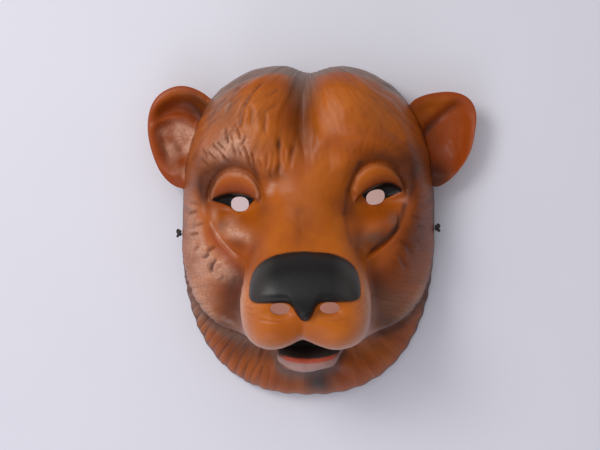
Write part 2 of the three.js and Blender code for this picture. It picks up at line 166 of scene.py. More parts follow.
def smooth_min(a, b, blend):
    """The smaller of two values, rounded off where they are closer than the blend."""
    overlap = np.clip(blend - np.abs(a - b), 0.0, None)
    return np.minimum(a, b) - overlap ** 2 / (4.0 * blend)


def box_reach(a, b, power):
    """Reach in a rounded box, 1 on its superellipse, from the shares of its half width and half height."""
    return (np.abs(a) ** power + np.abs(b) ** power) ** (1.0 / power)


def oval_radius(c, s, half_width, half_height, power):
    """Radius of a superellipse in the direction of a cosine and a sine."""
    return (np.abs(c / half_width) ** power + np.abs(s / half_height) ** power) ** (-1.0 / power)


def line_frame(x, y, start, end):
    """Places along a straight line and across it, and its length."""
    dx = end[0] - start[0]
    dy = end[1] - start[1]
    length = np.hypot(dx, dy)
    along = ((x - start[0]) * dx + (y - start[1]) * dy) / length
    across = ((x - start[0]) * dy - (y - start[1]) * dx) / length
    return along, across, length


def noise(x, y, cell, name):
    """Smooth value noise from -1 to 1: random heights on a square lattice, eased from corner to corner."""
    heights = np.random.default_rng(SEEDS[name]).uniform(-1.0, 1.0, (LATTICE, LATTICE))
    columns = np.floor(x / cell).astype(int)
    rows = np.floor(y / cell).astype(int)
    fx = ease(0.0, 1.0, x / cell - columns)
    fy = ease(0.0, 1.0, y / cell - rows)
    low, high = (mix(heights[(rows + i) % LATTICE, columns % LATTICE],
                     heights[(rows + i) % LATTICE, (columns + 1) % LATTICE], fx) for i in (0, 1))
    return mix(low, high, fy)


def linear(hex_colour):
    """Linear RGBA of an sRGB hex value."""
    channels = np.array([int(hex_colour[i:i + 2], 16) for i in (1, 3, 5)]) / 255.0
    bent = np.where(channels <= 0.04045, channels / 12.92, ((channels + 0.055) / 1.055) ** 2.4)
    return (*(float(c) for c in bent), 1.0)


def length_property(name, description, millimetres):
    """A size of the mask, kept in metres as the frame is."""
    return bpy.props.FloatProperty(
        name=name, description=description, default=millimetres * MM, unit="LENGTH", precision=4)


def colour_property(name, description, hex_colour):
    """A paint colour."""
    return bpy.props.FloatVectorProperty(
        name=name, description=description, default=linear(hex_colour), size=4, subtype="COLOR", min=0.0,
        max=1.0)


class MaskSizes(bpy.types.PropertyGroup):
    """Driving sizes of the moulding, its openings and its elastic"""
    half_width: length_property("Half width", "Half the width of the face at its rim", 80.0)
    crown: length_property("Crown", "Height of the crown's oval over the middle", 105.6)
    chin: length_property("Chin", "Depth of the chin's oval under the middle", 103.3)
    face_height: length_property("Face height", "Height of the plain dome over the rim", 57.0)
    wall: length_property("Wall", "Thickness of the moulded wall", 2.0)
    eye_x: length_property("Eye hole distance", "From the middle of the face to an eye hole", 39.3)
    eye_y: length_property("Eye hole level", "Level of the eye holes", 18.5)
    eye_half_width: length_property("Eye hole half width", "Half the width of an eye hole", 5.6)
    eye_half_height: length_property("Eye hole half height", "Half the height of an eye hole", 4.4)
    nostril_x: length_property("Nostril distance", "From the middle of the face to a nostril", 13.5)
    nostril_y: length_property("Nostril level", "Level of the nostrils", -40.3)
    nostril_half_width: length_property("Nostril half width", "Half the width of a nostril", 5.4)
    nostril_half_height: length_property("Nostril half height", "Half the height of a nostril", 3.3)
    cord_diameter: length_property("Elastic diameter", "Diameter of the elastic cord", 2.2)
    cord_hole: length_property("Side hole", "Diameter of the elastic's side holes", 3.2)


class MaskPaints(bpy.types.PropertyGroup):
    """Colours of the paint, the bare moulding, the elastic and the stage"""
    tan: colour_property("Tan", "Main orange-brown coat", "#B0580B")
    honey: colour_property("Honey", "Lighter coat on the bridge, lids and muzzle", "#BC630E")
    russet: colour_property("Russet", "Deep orange-red in the ears and cheeks", "#8F3A0E")
    # Umber is airbrushed brown and also painted shade: the shade marks lay it in the hollows, under the
    # cheek's fold and on the right side, away from the light.
    umber: colour_property("Umber", "Airbrushed brown in the hollows", "#482416")
    # Blush is a pinkish coat and painted sheen: it lies mostly on the left, towards the light, and on raised
    # edges and rims.
    blush_and_sheen: colour_property("Blush", "Thin pinkish coat on the brow, cheeks and edges", "#CB977C")
    taupe: colour_property("Taupe", "Grey-brown round the crown", "#8C7263")
    # Soot grey on the ends of the nose is painted sheen.
    soot_and_sheen: colour_property("Soot", "Grey smudge on the chin and in the mouth", "#3B3735")
    # Pink on the muzzle's lower edges is painted reflection.
    pink: colour_property("Pink", "Pale pink of the lower lip and the muzzle's edges", "#B6958E")
    red: colour_property("Red", "Red-orange inside of the lower lip", "#C4553A")
    black: colour_property("Black", "Satin black of the nose, eyes and mouth", "#1B1918")
    bare: colour_property("Bare", "Unpainted moulding inside the mask", "#B8784F")
    elastic: colour_property("Elastic", "Dark braided elastic", "#241D19")
    floor: colour_property("Floor", "Pale studio floor", "#E0DFE7")


def millimetres(sizes):
    """The driving sizes as plain numbers in millimetres."""
    return {name: getattr(sizes, name) / MM for name in MaskSizes.__annotations__}


# Surfaces of the face

def disc_grid(cells, knee):
    """Square grid bent into a disc, with its corners on the X and Y axes.

    The ring is the larger of the two grid distances from the middle. It is even up to the knee and then
    closes up quadratically to the rim. The angle runs evenly along each side of the square. Returns the
    share of the way out to the rim, and the angle.
    """
    line = np.linspace(-1.0, 1.0, cells + 1)
    a, b = np.meshgrid(line, line)
    ring = np.maximum(np.abs(a), np.abs(b))
    gain = 1.0 / (1.0 - knee * knee)
    share = np.where(ring < knee, 2.0 * gain * (1.0 - knee) * ring, 1.0 - gain * (1.0 - ring) ** 2)
    upright = np.abs(a) < np.abs(b)
    safe_a = np.where(a == 0.0, 1.0, a)
    safe_b = np.where(b == 0.0, 1.0, b)
    turn = np.where(upright, pi / 2 - pi / 4 * a / safe_b, pi / 4 * b / safe_a)
    half = np.where(np.where(upright, b, a) < 0.0, pi, 0.0)
    return share, turn + half + pi / 4


def rim_outline(size, angle):
    """Plan of the rim: two half superellipses, one for the crown and one for the chin, whose powers blend
    at the sides, less a bell-shaped dip between the crown's lobes, turned as a whole by its lean."""
    c = np.cos(angle)
    s = np.sin(angle)
    power = mix(OUTLINE["chin_power"], OUTLINE["crown_power"], ease(-OUTLINE["blend"], OUTLINE["blend"], s))
    height = np.where(s > 0.0, size["crown"], size["chin"])
    radius = oval_radius(c, s, size["half_width"], height, power)
    dip = bell(radius * c / CROWN_DIP["reach"]) * ease(0.0, CROWN_DIP["full_sine"], s)
    x = radius * c
    y = radius * s - CROWN_DIP["depth"] * dip
    lean = radians(OUTLINE["lean"])
    return x * cos(lean) + y * sin(lean), y * cos(lean) - x * sin(lean)


def muzzle_row(column, y):
    """One column of the muzzle's rows at a level of the face, averaged over a short stretch."""
    shifts = np.array([-1.0, -0.5, 0.0, 0.5, 1.0]) * MUZZLE_SMOOTHING
    weights = (0.15, 0.22, 0.26, 0.22, 0.15)
    lookups = [np.interp(y + shift, MUZZLE[:, 0], MUZZLE[:, column]) for shift in shifts]
    return sum(weight * value for weight, value in zip(weights, lookups))


def muzzle_reach(x, y, point=MUZZLE_END["point"]):
    """Reach from the muzzle's middle line, 1 half way down its wall: a rounded box in plan with two lobes
    at its lower end, which part at a cleft and grow as 1 less an exponential of the way from it. The point
    is how round the cleft is."""
    way = np.hypot(x - MUZZLE_END["cleft_x"], point) - point
    lobe = 1.0 - np.exp(-way / MUZZLE_END["reach"])
    end = MUZZLE_END["cleft"] + MUZZLE_END["lobe"] * lobe
    past = np.clip(MUZZLE_END["y"] - y, 0.0, None)
    return box_reach(x / muzzle_row(HALF_WIDTH, y), past / end, MUZZLE_END["corner"])


def nose_places(x, y):
    """Distance inside the superellipse of the nose pad, and distance above its lower edge, which dips in a
    bell-shaped tongue."""
    reach = box_reach(x / NOSE["half_width"], (y - NOSE["y"]) / NOSE["half_height"], NOSE["power"])
    oval = (1.0 - reach) * NOSE["half_height"]
    tongue = np.exp(-np.abs(x / NOSE_TONGUE["reach"]) ** NOSE_TONGUE["power"])
    return oval, y - NOSE_TONGUE["y"] + NOSE_TONGUE["length"] * tongue


def nose_depth(x, y):
    """Distance inside the nose pad's edge: a smooth minimum of its two distances."""
    return smooth_min(*nose_places(x, y), NOSE["corner"])


def nose_height(x, y):
    """The nose pad's rise: a quarter circle's profile from its oval inwards, times a shorter one from its
    lower edge upwards."""
    oval, above = nose_places(x, y)
    sides = 1.0 - np.clip(oval / NOSE["edge"], 0.0, 1.0)
    low = 1.0 - np.clip(above / NOSE["lower_edge"], 0.0, 1.0)
    return NOSE["rise"] * np.sqrt((1.0 - sides * sides) * (1.0 - low * low))


def jaw_reach(x, y):
    """Reach from the middle of the face, 1 on the superellipse of the jaw line, which dips round the chin."""
    height = mix(JAW["half_height"], JAW["chin"], ease(*JAW["chin_x"], np.abs(x)))
    return box_reach(x / JAW["half_width"], y / height, JAW["power"])


def ruff_share(x, y, early=1.0):
    """0 on the cheeks, 1 on the ruff outside the jaw line, on the lower half of the face. The step may come
    early, nearer to the middle."""
    return ease(*JAW["step"], early * jaw_reach(x, y)) * ease(*JAW["rows"], y)


def ruff_locks_share(x, y):
    """The ruff's share where its locks show: none round the lower lip."""
    from_mouth = np.hypot(x, RUFF["lip_stretch"] * (y - MOUTH["y"]))
    return ruff_share(x, y) * ease(*RUFF["lip_clear"], from_mouth)


def eye_frame(x, y):
    """Plan places seen from the eyes: each side's own small shift, fading out away from the eye, is taken
    off, and both sides are folded onto the right one."""
    side = np.where(x < 0.0, -1.0, 1.0)
    near = bell((np.abs(x) - LID["x"]) / EYE_SHIFT["reach"], (y - LID["y"]) / EYE_SHIFT["reach"])
    shift_x = np.where(side < 0.0, EYE_SHIFT["left"][0], EYE_SHIFT["right"][0])
    shift_y = np.where(side < 0.0, EYE_SHIFT["left"][1], EYE_SHIFT["right"][1])
    return np.abs(x) - shift_x * near, y - shift_y * near


def lid_edge(x, ax):
    """Level of the upper lid's lower edge: a shallow arch, with its own sizes on each side."""
    pairs = zip(LID_EDGE["left"], LID_EDGE["right"])
    middle, level, inner, outer = (np.where(x < 0.0, *pair) for pair in pairs)
    reach = np.where(ax < middle, inner, outer)
    return level - LID_EDGE["droop"] * ((ax - middle) / reach) ** 2


def lower_lid(x, ax):
    """Level of the lower lid's edge: a bowl that rises as a power of the distance from its lowest place, with
    its own reach and power on the inner and the outer side."""
    outer = np.where(x < 0.0, LOWER_LID["left"], LOWER_LID["right"])
    inside = ax < LOWER_LID["x"]
    reach = np.where(inside, LOWER_LID["inner"], outer)
    power = np.where(inside, *LOWER_LID["powers"])
    return LOWER_LID["y"] + LOWER_LID["rise"] * (np.abs(ax - LOWER_LID["x"]) / reach) ** power


def oval_reach(x, y, oval):
    """Reach from the middle of an oval of the tables, 1 on its border."""
    return np.hypot((x - oval["x"]) / oval["reach_x"], (y - oval["y"]) / oval["reach_y"])


def eye_height(x, y, fine):
    """Upper lid, lower lid and the crease round the pouch.

    The upper lid is the power of an oval bowl with a soft border, cut off along its edge, with a bell-shaped
    groove round its upper border. The lower lid is a bell-shaped ridge along its edge. The pouch's crease is
    a bell-shaped groove along an oval, on its lower outer side. The inside of the wall follows the upper
    lid's bowl alone, low and with a soft edge.
    """
    ax, y = eye_frame(x, y)
    oval = oval_reach(ax, y, LID)
    bowl = np.clip(1.0 - oval ** 2, 0.0, 1.0)
    over_edge = y - lid_edge(x, ax)
    if not fine:
        return LID_INSIDE["share"] * LID["rise"] * bowl * ease(*LID_INSIDE["edge"], over_edge)
    dome = (bowl * bowl / (bowl + LID["soft"])) ** LID["fullness"]
    upper = LID["rise"] * dome * ease(-LID_EDGE["softness"], LID_EDGE["softness"], over_edge)
    border = bell((oval - LID_CREASE["at"]) / LID_CREASE["width"]) * ease(*LID_CREASE["rows"], y)
    lower = LOWER_LID["ridge"] * bell((y - lower_lid(x, ax) + LOWER_LID["below"]) / LOWER_LID["width"])
    lower = lower * ease(*LOWER_LID["ends"], np.abs(ax - LID["x"]))
    crease = bell((oval_reach(ax, y, POUCH_CREASE) - 1.0) / POUCH_CREASE["width"])
    crease = crease * ease(*POUCH_CREASE["rows"], y) * ease(*POUCH_CREASE["columns"], ax)
    depth = np.where(x < 0.0, POUCH_CREASE["left"], POUCH_CREASE["right"])
    return upper - LID_CREASE["depth"] * border + lower - depth * crease


def muzzle_height(x, y, fine):
    """Muzzle and lower lip, joined by a soft valley that holds the mouth.

    The muzzle is its rise over 1 plus its reach to a high power, which gives a flat front and steep walls,
    with a bell on each lip. The lower lip is made alike, and the two join by a smooth maximum. The inside of
    the wall follows the muzzle alone, and keeps clear of the mouth.
    """
    reach = muzzle_reach(x, y if fine else y - MOUTH_INSIDE["draw_up"] * ease(*MOUTH_INSIDE["rows"], y))
    crowned = 1.0 - MUZZLE_END["crown"] * np.minimum(reach, 1.0) ** 2
    block = muzzle_row(RISE, y) / (1.0 + reach ** muzzle_row(SQUARENESS, y)) * crowned
    if not fine:
        hollow = bell(x / MOUTH_INSIDE["reach_x"], (y - MOUTH["y"]) / MOUTH_INSIDE["reach_y"])
        return block - MOUTH_INSIDE["hollow"] * hollow
    lobe = bell((np.abs(x) - LIP_LOBE["x"]) / LIP_LOBE["reach_x"], (y - LIP_LOBE["y"]) / LIP_LOBE["reach_y"])
    upper = block + LIP_LOBE["rise"] * lobe
    curl = (x / LOWER_LIP["curl_x"]) ** 2
    lip_y = (y - LOWER_LIP["y"] - LOWER_LIP["curl"] * curl) / LOWER_LIP["reach_y"]
    lip_reach = box_reach(x / LOWER_LIP["reach_x"], lip_y, LOWER_LIP["corner"])
    lower = LOWER_LIP["rise"] / (1.0 + lip_reach ** LOWER_LIP["squareness"])
    joined = -smooth_min(-upper, -lower, LOWER_LIP["blend"])
    across = (y - MOUTH["y"] - MOUTH["curl"] * curl) / MOUTH["reach_y"]
    return joined - MOUTH["depth"] * np.exp(-(x / MOUTH["reach_x"]) ** 4) * bell(across)


def face_height(size, x, y, fine):
    """Height of the face over the rim plane before its sides round down: the dome, the swellings, the
    grooves, the eyes, the muzzle and the nose pad, less the step at the jaw, over which the cheek ends in a
    low fold. The inside of the wall follows the eyes without their fine edges, and steps down earlier."""
    side = DOME["side_fall"] * (np.abs(x) / size["half_width"]) ** DOME["side_power"]
    end = DOME["end_fall"] * np.abs((y - DOME["top_y"]) / DOME["reach"]) ** DOME["end_power"]
    z = size["face_height"] * (1.0 - side - end) + muzzle_height(x, y, fine) + nose_height(x, y)
    z = z + eye_height(x, y, fine)
    ax, ey = eye_frame(x, y)
    for _, at_x, at_y, reach_x, reach_y, rise, slant in SWELLINGS:
        dx = ax - at_x
        z = z + rise * bell(dx / reach_x, (ey - at_y + slant * dx) / reach_y)
    for at_x, depth, reach, start, full in GROOVES:
        z = z - depth * bell((x - at_x) / reach) * ease(start, full, y) * ease(*GROOVES_END, y)
    fold = bell((jaw_reach(x, y) - CHEEK_FOLD["at"]) / CHEEK_FOLD["width"])
    fold = fold * ease(*JAW["rows"], y) * ease(*CHEEK_FOLD["columns"], np.abs(x))
    return z + CHEEK_FOLD["rise"] * fold - JAW["drop"] * ruff_share(x, y, 1.0 if fine else JAW["early"])


def shoulder(angle, inset):
    """0 at the rim, rounding up to 1 inside the shoulder along a superellipse's quarter."""
    s = np.sin(angle)
    ruff = ease(*SHOULDER_BLEND["ruff"], -s)
    reach = mix(SHOULDER["side"], SHOULDER["ruff"], ruff)
    reach = mix(reach, SHOULDER["crown"], ease(*SHOULDER_BLEND["crown"], s))
    power = mix(SHOULDER["side_round"], SHOULDER["ruff_round"], ruff)
    left = 1.0 - np.minimum(inset / reach, 1.0)
    return (1.0 - left ** power) ** (1.0 / power)


def face_surface(size, share, angle, fine=True):
    """Outer face along the rays from the hub to the rim.

    The height field is rounded down at its sides. Then the foot of the muzzle is drawn in under its front,
    so that its walls stand upright, and the ruff's locks stand out along the rays as a cosine of the angle.
    Returns the points, and their plan places before the muzzle was drawn in.
    """
    rim_x, rim_y = rim_outline(size, angle)
    ray_y = rim_y - HUB_Y
    length = np.hypot(rim_x, ray_y)
    plan_x = share * rim_x
    plan_y = HUB_Y + share * ray_y
    rounding = shoulder(angle, (1.0 - share) * length)
    z = face_height(size, plan_x, plan_y, fine) * rounding
    reach = np.clip(muzzle_reach(plan_x, plan_y, UNDERCUT["point"]), 1e-4, None)
    walls = ease(*UNDERCUT["walls"], reach) * ease(1.0, UNDERCUT["fade_from"], share)
    gain = 1.0 - UNDERCUT["pull"] * walls * ease(*UNDERCUT["rows"], plan_y) / reach
    x = plan_x * gain
    y = plan_y + np.clip(MUZZLE_END["y"] - plan_y, 0.0, None) * (1.0 - gain)
    lock = RUFF["depth"] * ruff_locks_share(plan_x, plan_y) * np.cos(2 * RUFF["locks"] * angle)
    x = x + lock * rim_x / length
    y = y + lock * ray_y / length
    points = np.stack([x, y, z + lock * RUFF["lift"] * rounding], axis=-1)
    return points, plan_x, plan_y


def grid_normals(points):
    """Unit normals of a grid of points: the cross product of its two directions."""
    along = np.gradient(points, axis=1)
    up = np.gradient(points, axis=0)
    normal = np.cross(along, up)
    return normal / np.maximum(np.linalg.norm(normal, axis=-1, keepdims=True), 1e-9)


# Fine relief of the face

# Wrinkles of the brow: start x, y, end x, y, depth, width
BROW_WRINKLES = (
    (45.5, 62.6, 43.5, 52.3, 1.7, 0.95),
    (50.5, 54.7, 44.8, 48.3, 1.6, 1.0),
    (53.7, 53.8, 49.2, 48.7, 1.5, 1.0),
    (49.8, 49.4, 44.6, 43.9, 1.4, 1.0),
    (56.9, 49.3, 51.4, 44.3, 1.5, 1.0),
    (41.6, 53.9, 38.5, 44.7, 1.5, 1.1),
    (39.3, 62.7, 35.5, 54.1, 1.6, 1.1),
    (32.0, 57.4, 35.6, 51.2, 1.5, 1.0),
    (34.2, 51.6, 31.2, 43.5, 1.5, 1.0),
    (31.6, 45.5, 31.4, 39.0, 1.3, 1.0),
    (29.4, 48.2, 28.9, 39.4, 1.5, 1.0),
    (26.2, 43.8, 24.2, 36.3, 1.4, 1.1),
    (59.5, 51.3, 57.0, 45.8, 1.2, 1.0),
    (37.4, 50.2, 35.0, 44.1, 1.2, 0.9),
    (43.0, 58.8, 40.4, 53.8, 1.2, 0.9),
    (47.5, 46.3, 42.5, 41.6, 1.1, 0.9),
    (60.5, 45.0, 56.0, 40.0, 1.1, 1.0),
)

# Wrinkles of the cheek beside the pouch: start x, y, end x, y, depth, width
CHEEK_WRINKLES = (
    (71.0, 0.5, 63.8, 1.8, 1.6, 1.0),
    (67.7, 5.5, 59.7, 7.7, 1.3, 1.0),
    (62.9, -10.4, 56.3, -5.8, 1.7, 1.1),
    (65.6, -14.0, 61.0, -10.4, 2.0, 1.3),
    (64.7, -22.6, 58.5, -13.2, 2.0, 1.2),
    (60.4, -20.3, 57.3, -16.9, 1.3, 1.0),
    (61.2, -26.8, 58.6, -23.6, 1.1, 0.9),
    (55.5, -27.5, 53.5, -24.0, 0.8, 0.9),
    (69.1, -10.0, 65.1, -6.4, 0.9, 1.1),
    (71.5, 12.7, 64.7, 14.3, 1.0, 1.1),
    (71.0, 19.5, 63.5, 18.5, 0.9, 1.1),
)

# Long locks between the brow and the middle of the forehead: start x, y, end x, y, depth, width
INNER_LOCKS = (
    (20.3, 48.5, 22.5, 33.5, 1.4, 1.4),
    (16.9, 49.6, 19.6, 31.5, 1.4, 1.5),
    (13.8, 57.0, 14.3, 32.5, 2.0, 1.9),
    (10.6, 50.2, 11.3, 39.0, 1.3, 1.3),
    (5.0, 52.0, 9.4, 38.0, 1.5, 1.6),
    (22.5, 88.0, 29.6, 80.5, 1.2, 1.4),
    (28.6, 82.3, 34.6, 71.8, 1.4, 1.5),
    (34.0, 74.0, 36.6, 60.5, 1.4, 1.5),
    (36.3, 87.5, 41.1, 79.4, 1.1, 1.3),
    (40.6, 80.4, 44.1, 70.3, 1.1, 1.4),
    (27.8, 73.4, 30.3, 62.2, 1.1, 1.6),
    (21.0, 70.9, 22.3, 56.2, 1.0, 1.7),
    (14.0, 75.0, 23.2, 69.4, 0.8, 1.6),
    (43.6, 81.8, 50.0, 71.5, 1.0, 1.3),
    (13.0, 84.0, 22.0, 78.0, 0.8, 1.6),
    (52.0, 74.0, 57.5, 63.0, 0.9, 1.3),
)

# Short lines on the whisker pads: start x, y, end x, y, depth, width
WHISKER_LINES = (
    (33.0, -38.0, 28.0, -41.5, 0.5, 0.7),
    (32.5, -42.0, 27.5, -44.5, 0.5, 0.7),
    (26.0, -46.0, 10.0, -47.5, 0.5, 0.9),
)

# Each table of strokes with its strength on the right side, where the brow is nearly smooth
STROKES = ((BROW_WRINKLES, 0.15), (CHEEK_WRINKLES, 0.5), (INNER_LOCKS, 0.15), (WHISKER_LINES, 0.5))

# A stroke's raised sides, as a share of its depth and a multiple of its width, and how its ends taper. Then
# how noise bends the strokes, and where the left side's strength passes into the right one's.
STROKE = {"sides": 0.5, "side_width": 2.4, "taper": 0.25, "past": 0.5}
WRINKLE_BEND = {"by": 0.5, "cell": 4.5}
MIDDLE_BLEND = (-4.0, 4.0)


def line_places(x, y, start, end, width):
    """Distance from a straight line in widths: across it, and past its ends along it."""
    along, across, length = line_frame(x, y, start, end)
    past = np.clip(np.abs(along - 0.5 * length) - 0.5 * length, 0.0, None)
    return across / width, past / width


def stroke(x, y, start, end, width):
    """Groove along a straight stroke with soft raised sides: a narrow bell across it less a wide one,
    tapering to its two ends."""
    along, across, length = line_frame(x, y, start, end)
    full = STROKE["taper"] * length
    taper = ease(-STROKE["past"], full, along) * ease(length + STROKE["past"], length - full, along)
    return (bell(across / width) - STROKE["sides"] * bell(across / (STROKE["side_width"] * width))) * taper


def wrinkles(x, y):
    """Depth of all the wrinkles: the strokes of the tables, their lines bent a little by noise, with each
    side's own strength."""
    ax, ey = eye_frame(x, y)
    ax = ax + WRINKLE_BEND["by"] * noise(x, y, WRINKLE_BEND["cell"], "wrinkle x")
    ey = ey + WRINKLE_BEND["by"] * noise(x, y, WRINKLE_BEND["cell"], "wrinkle y")
    right = ease(*MIDDLE_BLEND, x)
    depth = np.zeros_like(ax)
    for table, strength in STROKES:
        side = mix(1.0, strength, right)
        for x0, y0, x1, y1, deep, width in table:
            depth = depth + deep * side * stroke(ax, ey, (x0, y0), (x1, y1), width)
    return depth


# Crumpled skin on the left side: x, y, reach in x, reach in y, weight
CRUMPLED = (
    (45.0, 50.0, 15.0, 8.0, 0.4),
    (60.0, -18.0, 8.0, 10.0, 0.9),
    (68.0, 0.0, 6.0, 26.0, 0.8),
    (44.0, 3.0, 9.0, 7.0, 0.6),
)

# Its noise: the cosine and sine that turn its lines, how they are stretched and bent, and how sharp they are
CRUMPLE = {"turn": (0.8, 0.6), "stretch": 0.4, "bend": 1.6, "bend_cell": 5.0, "cell": 3.6, "sharpness": 3.0}


def crumple(x, y):
    """Folds of crumpled skin, -2 in their valleys and 1 on their ridges: 1 less a multiple of the size of a
    noise whose lines are bent by another, within the bells of the table."""
    ax, ey = eye_frame(x, y)
    weight = np.maximum.reduce([weight * bell((ax - at_x) / reach_x, (ey - at_y) / reach_y)
                                for at_x, at_y, reach_x, reach_y, weight in CRUMPLED])
    c, s = CRUMPLE["turn"]
    across = c * ax + s * ey + CRUMPLE["bend"] * noise(x, y, CRUMPLE["bend_cell"], "crumple bend")
    along = CRUMPLE["stretch"] * (c * ey - s * ax)
    folds = 1.0 - CRUMPLE["sharpness"] * np.abs(noise(across, along, CRUMPLE["cell"], "crumple"))
    return weight * folds * (x < 0.0)


# Where the fur's strands start, on the crown for the forehead and behind the muzzle for the rest, and the
# radius that turns their angle into a width
FUR_STARTS = {"crown": (2.0, 112.0), "face": (0.0, -10.0)}
FUR_RADIUS = 70.0
FOREHEAD_BLEND = (30.0, 50.0)

# The fur is full in a band along the rim and thinner inside it, on the right of the forehead and on the
# cheeks. The muzzle, below the forehead, and the surround of the eyes are bald.
FUR = {"band": (0.72, 0.97), "inside": 0.7, "right": 0.7, "right_x": (0.0, 20.0), "cheeks": (0.5, 0.75),
       "cheek_y": (25.0, 5.0)}
BALD = {"muzzle": (1.35, 1.0), "rows": (60.0, 30.0), "eye": (30.0, 20.0), "eye_y": 12.0, "eye_stretch": 0.9}

# Noises of the fur and of the ruff: weight, stretch along the strands, cell
FUR_BEND = {"by": 2.5, "cell": 14.0}
FUR_NOISES = {"broad": (2.4, 0.14, 5.0), "fine": (1.0, 0.1, 1.8)}
FUR_SHARES = {"offset": 0.9, "fine": 0.3}
RUFF_NOISES = {"phase": (1.2, 0.4, 7.0), "fine": (0.35, 0.15, 1.4), "strength": (0.4, 0.3, 6.0)}
RUFF_STRANDS = {"start": (27.0, 23.0), "radius": 85.0, "grooves": 64.0, "power": 0.65, "gain": 1.7,
                "offset": 1.1, "strength": 0.8, "sides": (1.0, 0.3), "columns": (18.0, 36.0)}


def fur_lay(x, y, start):
    """Angle about a start of the fur, and distance from it."""
    dx = x - FUR_STARTS[start][0]
    dy = y - FUR_STARTS[start][1]
    return np.arctan2(dx, dy), np.hypot(dx, dy)


def fur_weight(x, y, share):
    """How furry the surface is: most along the rim, none on the muzzle and round the eyes, and less on the
    right half of the forehead and on the cheeks."""
    ax, ey = eye_frame(x, y)
    from_eye = np.hypot(ax - LID["x"], BALD["eye_stretch"] * (ey - BALD["eye_y"]))
    bald = ease(*BALD["muzzle"], muzzle_reach(x, y)) * ease(*BALD["rows"], y)
    bald = np.maximum(bald, ease(*BALD["eye"], from_eye))
    band = ease(*FUR["band"], share)
    right = FUR["right"] * ease(*FUR["right_x"], x) * ease(*FOREHEAD_BLEND, y)
    cheek = np.where(x < 0.0, *FUR["cheeks"]) * ease(*FUR["cheek_y"], y)
    thick = (1.0 - right * (1.0 - band)) * (1.0 - cheek * (1.0 - band))
    return mix(FUR["inside"], 1.0, band) * (1.0 - bald) * thick


def fur_strands(x, y):
    """Strands along the fur's lay, with round backs and sharp grooves: the size of a broad noise that is
    stretched along it, with a fine noise."""
    strands = {}
    for start in FUR_STARTS:
        turn, along = fur_lay(x, y, start)
        across = np.abs(turn) * FUR_RADIUS + FUR_BEND["by"] * noise(x, y, FUR_BEND["cell"], f"{start} bend")
        broad, fine = (weight * noise(across, along * stretch, cell, f"{start} {name}")
                       for name, (weight, stretch, cell) in FUR_NOISES.items())
        strands[start] = mix(np.abs(broad) - FUR_SHARES["offset"], fine, FUR_SHARES["fine"])
    return mix(strands["face"], strands["crown"], ease(*FOREHEAD_BLEND, y))


def ruff_strands(x, y):
    """Strands of the ruff, which hang down and outwards from a start above each cheek, with grooves between
    them: a power of a sine's size over the angle about the start, whose phase wanders with a noise, and a
    fine noise that is stretched along them. They fade out at the chin and are weak on the right."""
    dx = np.abs(x) - RUFF_STRANDS["start"][0]
    dy = RUFF_STRANDS["start"][1] - y
    turn = np.arctan2(dx, dy)
    across = turn * RUFF_STRANDS["radius"]
    away = np.hypot(dx, dy)
    phase, fine, strength = (weight * noise(across, away * stretch, cell, f"ruff {name}")
                             for name, (weight, stretch, cell) in RUFF_NOISES.items())
    wave = np.abs(np.sin(RUFF_STRANDS["grooves"] * turn + phase))
    strands = RUFF_STRANDS["gain"] * wave ** RUFF_STRANDS["power"] - RUFF_STRANDS["offset"] + fine
    strands = strands * (RUFF_STRANDS["strength"] + strength)
    return strands * np.where(x < 0.0, *RUFF_STRANDS["sides"]) * ease(*RUFF_STRANDS["columns"], np.abs(x))


# Each kind of relief: its height, and of the darkening in its valleys, settled pigment and painted shade, the
# gain, threshold and most. A groove's raised sides count as proud skin, which takes a painted highlight, by a
# gain of their own.
RELIEF = {
    "grooves": (1.0, 0.95, 0.0, 1.0),
    "folds": (0.3, 0.35, 0.1, 0.5),
    "ruff": (0.9, 1.1, 0.05, 0.75),
    "fur": (0.6, 0.9, 0.3, 1.0),
}
PROUD_GROOVES = 3.0

# Unevenness of the moulding and dimples of the nose: noise, height, cell. Then how far inside the nose the
# dimples take over, where relief fades out towards the rim, and the share that counts as the rim.
UNEVEN = (("waves", 0.22, 8.0), ("ripples", 0.1, 3.0))
DIMPLES = (("dimples", 0.03, 2.6),)
NOSE_BLEND = (0.0, 3.0)
RIM = {"fade": (1.0, 0.985), "at": 0.9999}


def outer_face(size):
    """Outer face with its fine relief: the base surface moved along its normals by the wrinkles, the fur's
    strands, the ruff's strands and the nose's faint dimples. Also gives what the paint follows."""
    share, angle = disc_grid(**FACE_GRID)
    base, x, y = face_surface(size, share, angle)
    ruff = ruff_locks_share(x, y)
    forms = {"grooves": -wrinkles(x, y), "folds": crumple(x, y), "ruff": ruff_strands(x, y),
             "fur": fur_strands(x, y)}
    weights = {"grooves": 1.0, "folds": 1.0, "ruff": ruff, "fur": fur_weight(x, y, share) * (1.0 - ruff)}
    uneven, dimples = (sum(height * noise(x, y, cell, name) for name, height, cell in table)
                       for table in (UNEVEN, DIMPLES))
    relief = mix(uneven, dimples, ease(*NOSE_BLEND, nose_depth(x, y)))
    settled_and_shade = np.zeros_like(x)
    for name, (height, gain, threshold, most) in RELIEF.items():
        relief = relief + weights[name] * height * forms[name]
        settled_and_shade = settled_and_shade + weights[name] * np.clip(-gain * forms[name] - threshold, 0.0, most)
    points = base + grid_normals(base) * (relief * ease(*RIM["fade"], share))[..., None]
    points[..., 2] = np.where(share > RIM["at"], 0.0, points[..., 2])
    proud = np.maximum(PROUD_GROOVES * forms["grooves"], forms["folds"])
    relief_marks = {"settled_and_shade": np.clip(settled_and_shade, 0.0, 1.0), "proud": np.clip(proud, 0.0, 1.0)}
    return points, base, x, y, share, relief_marks


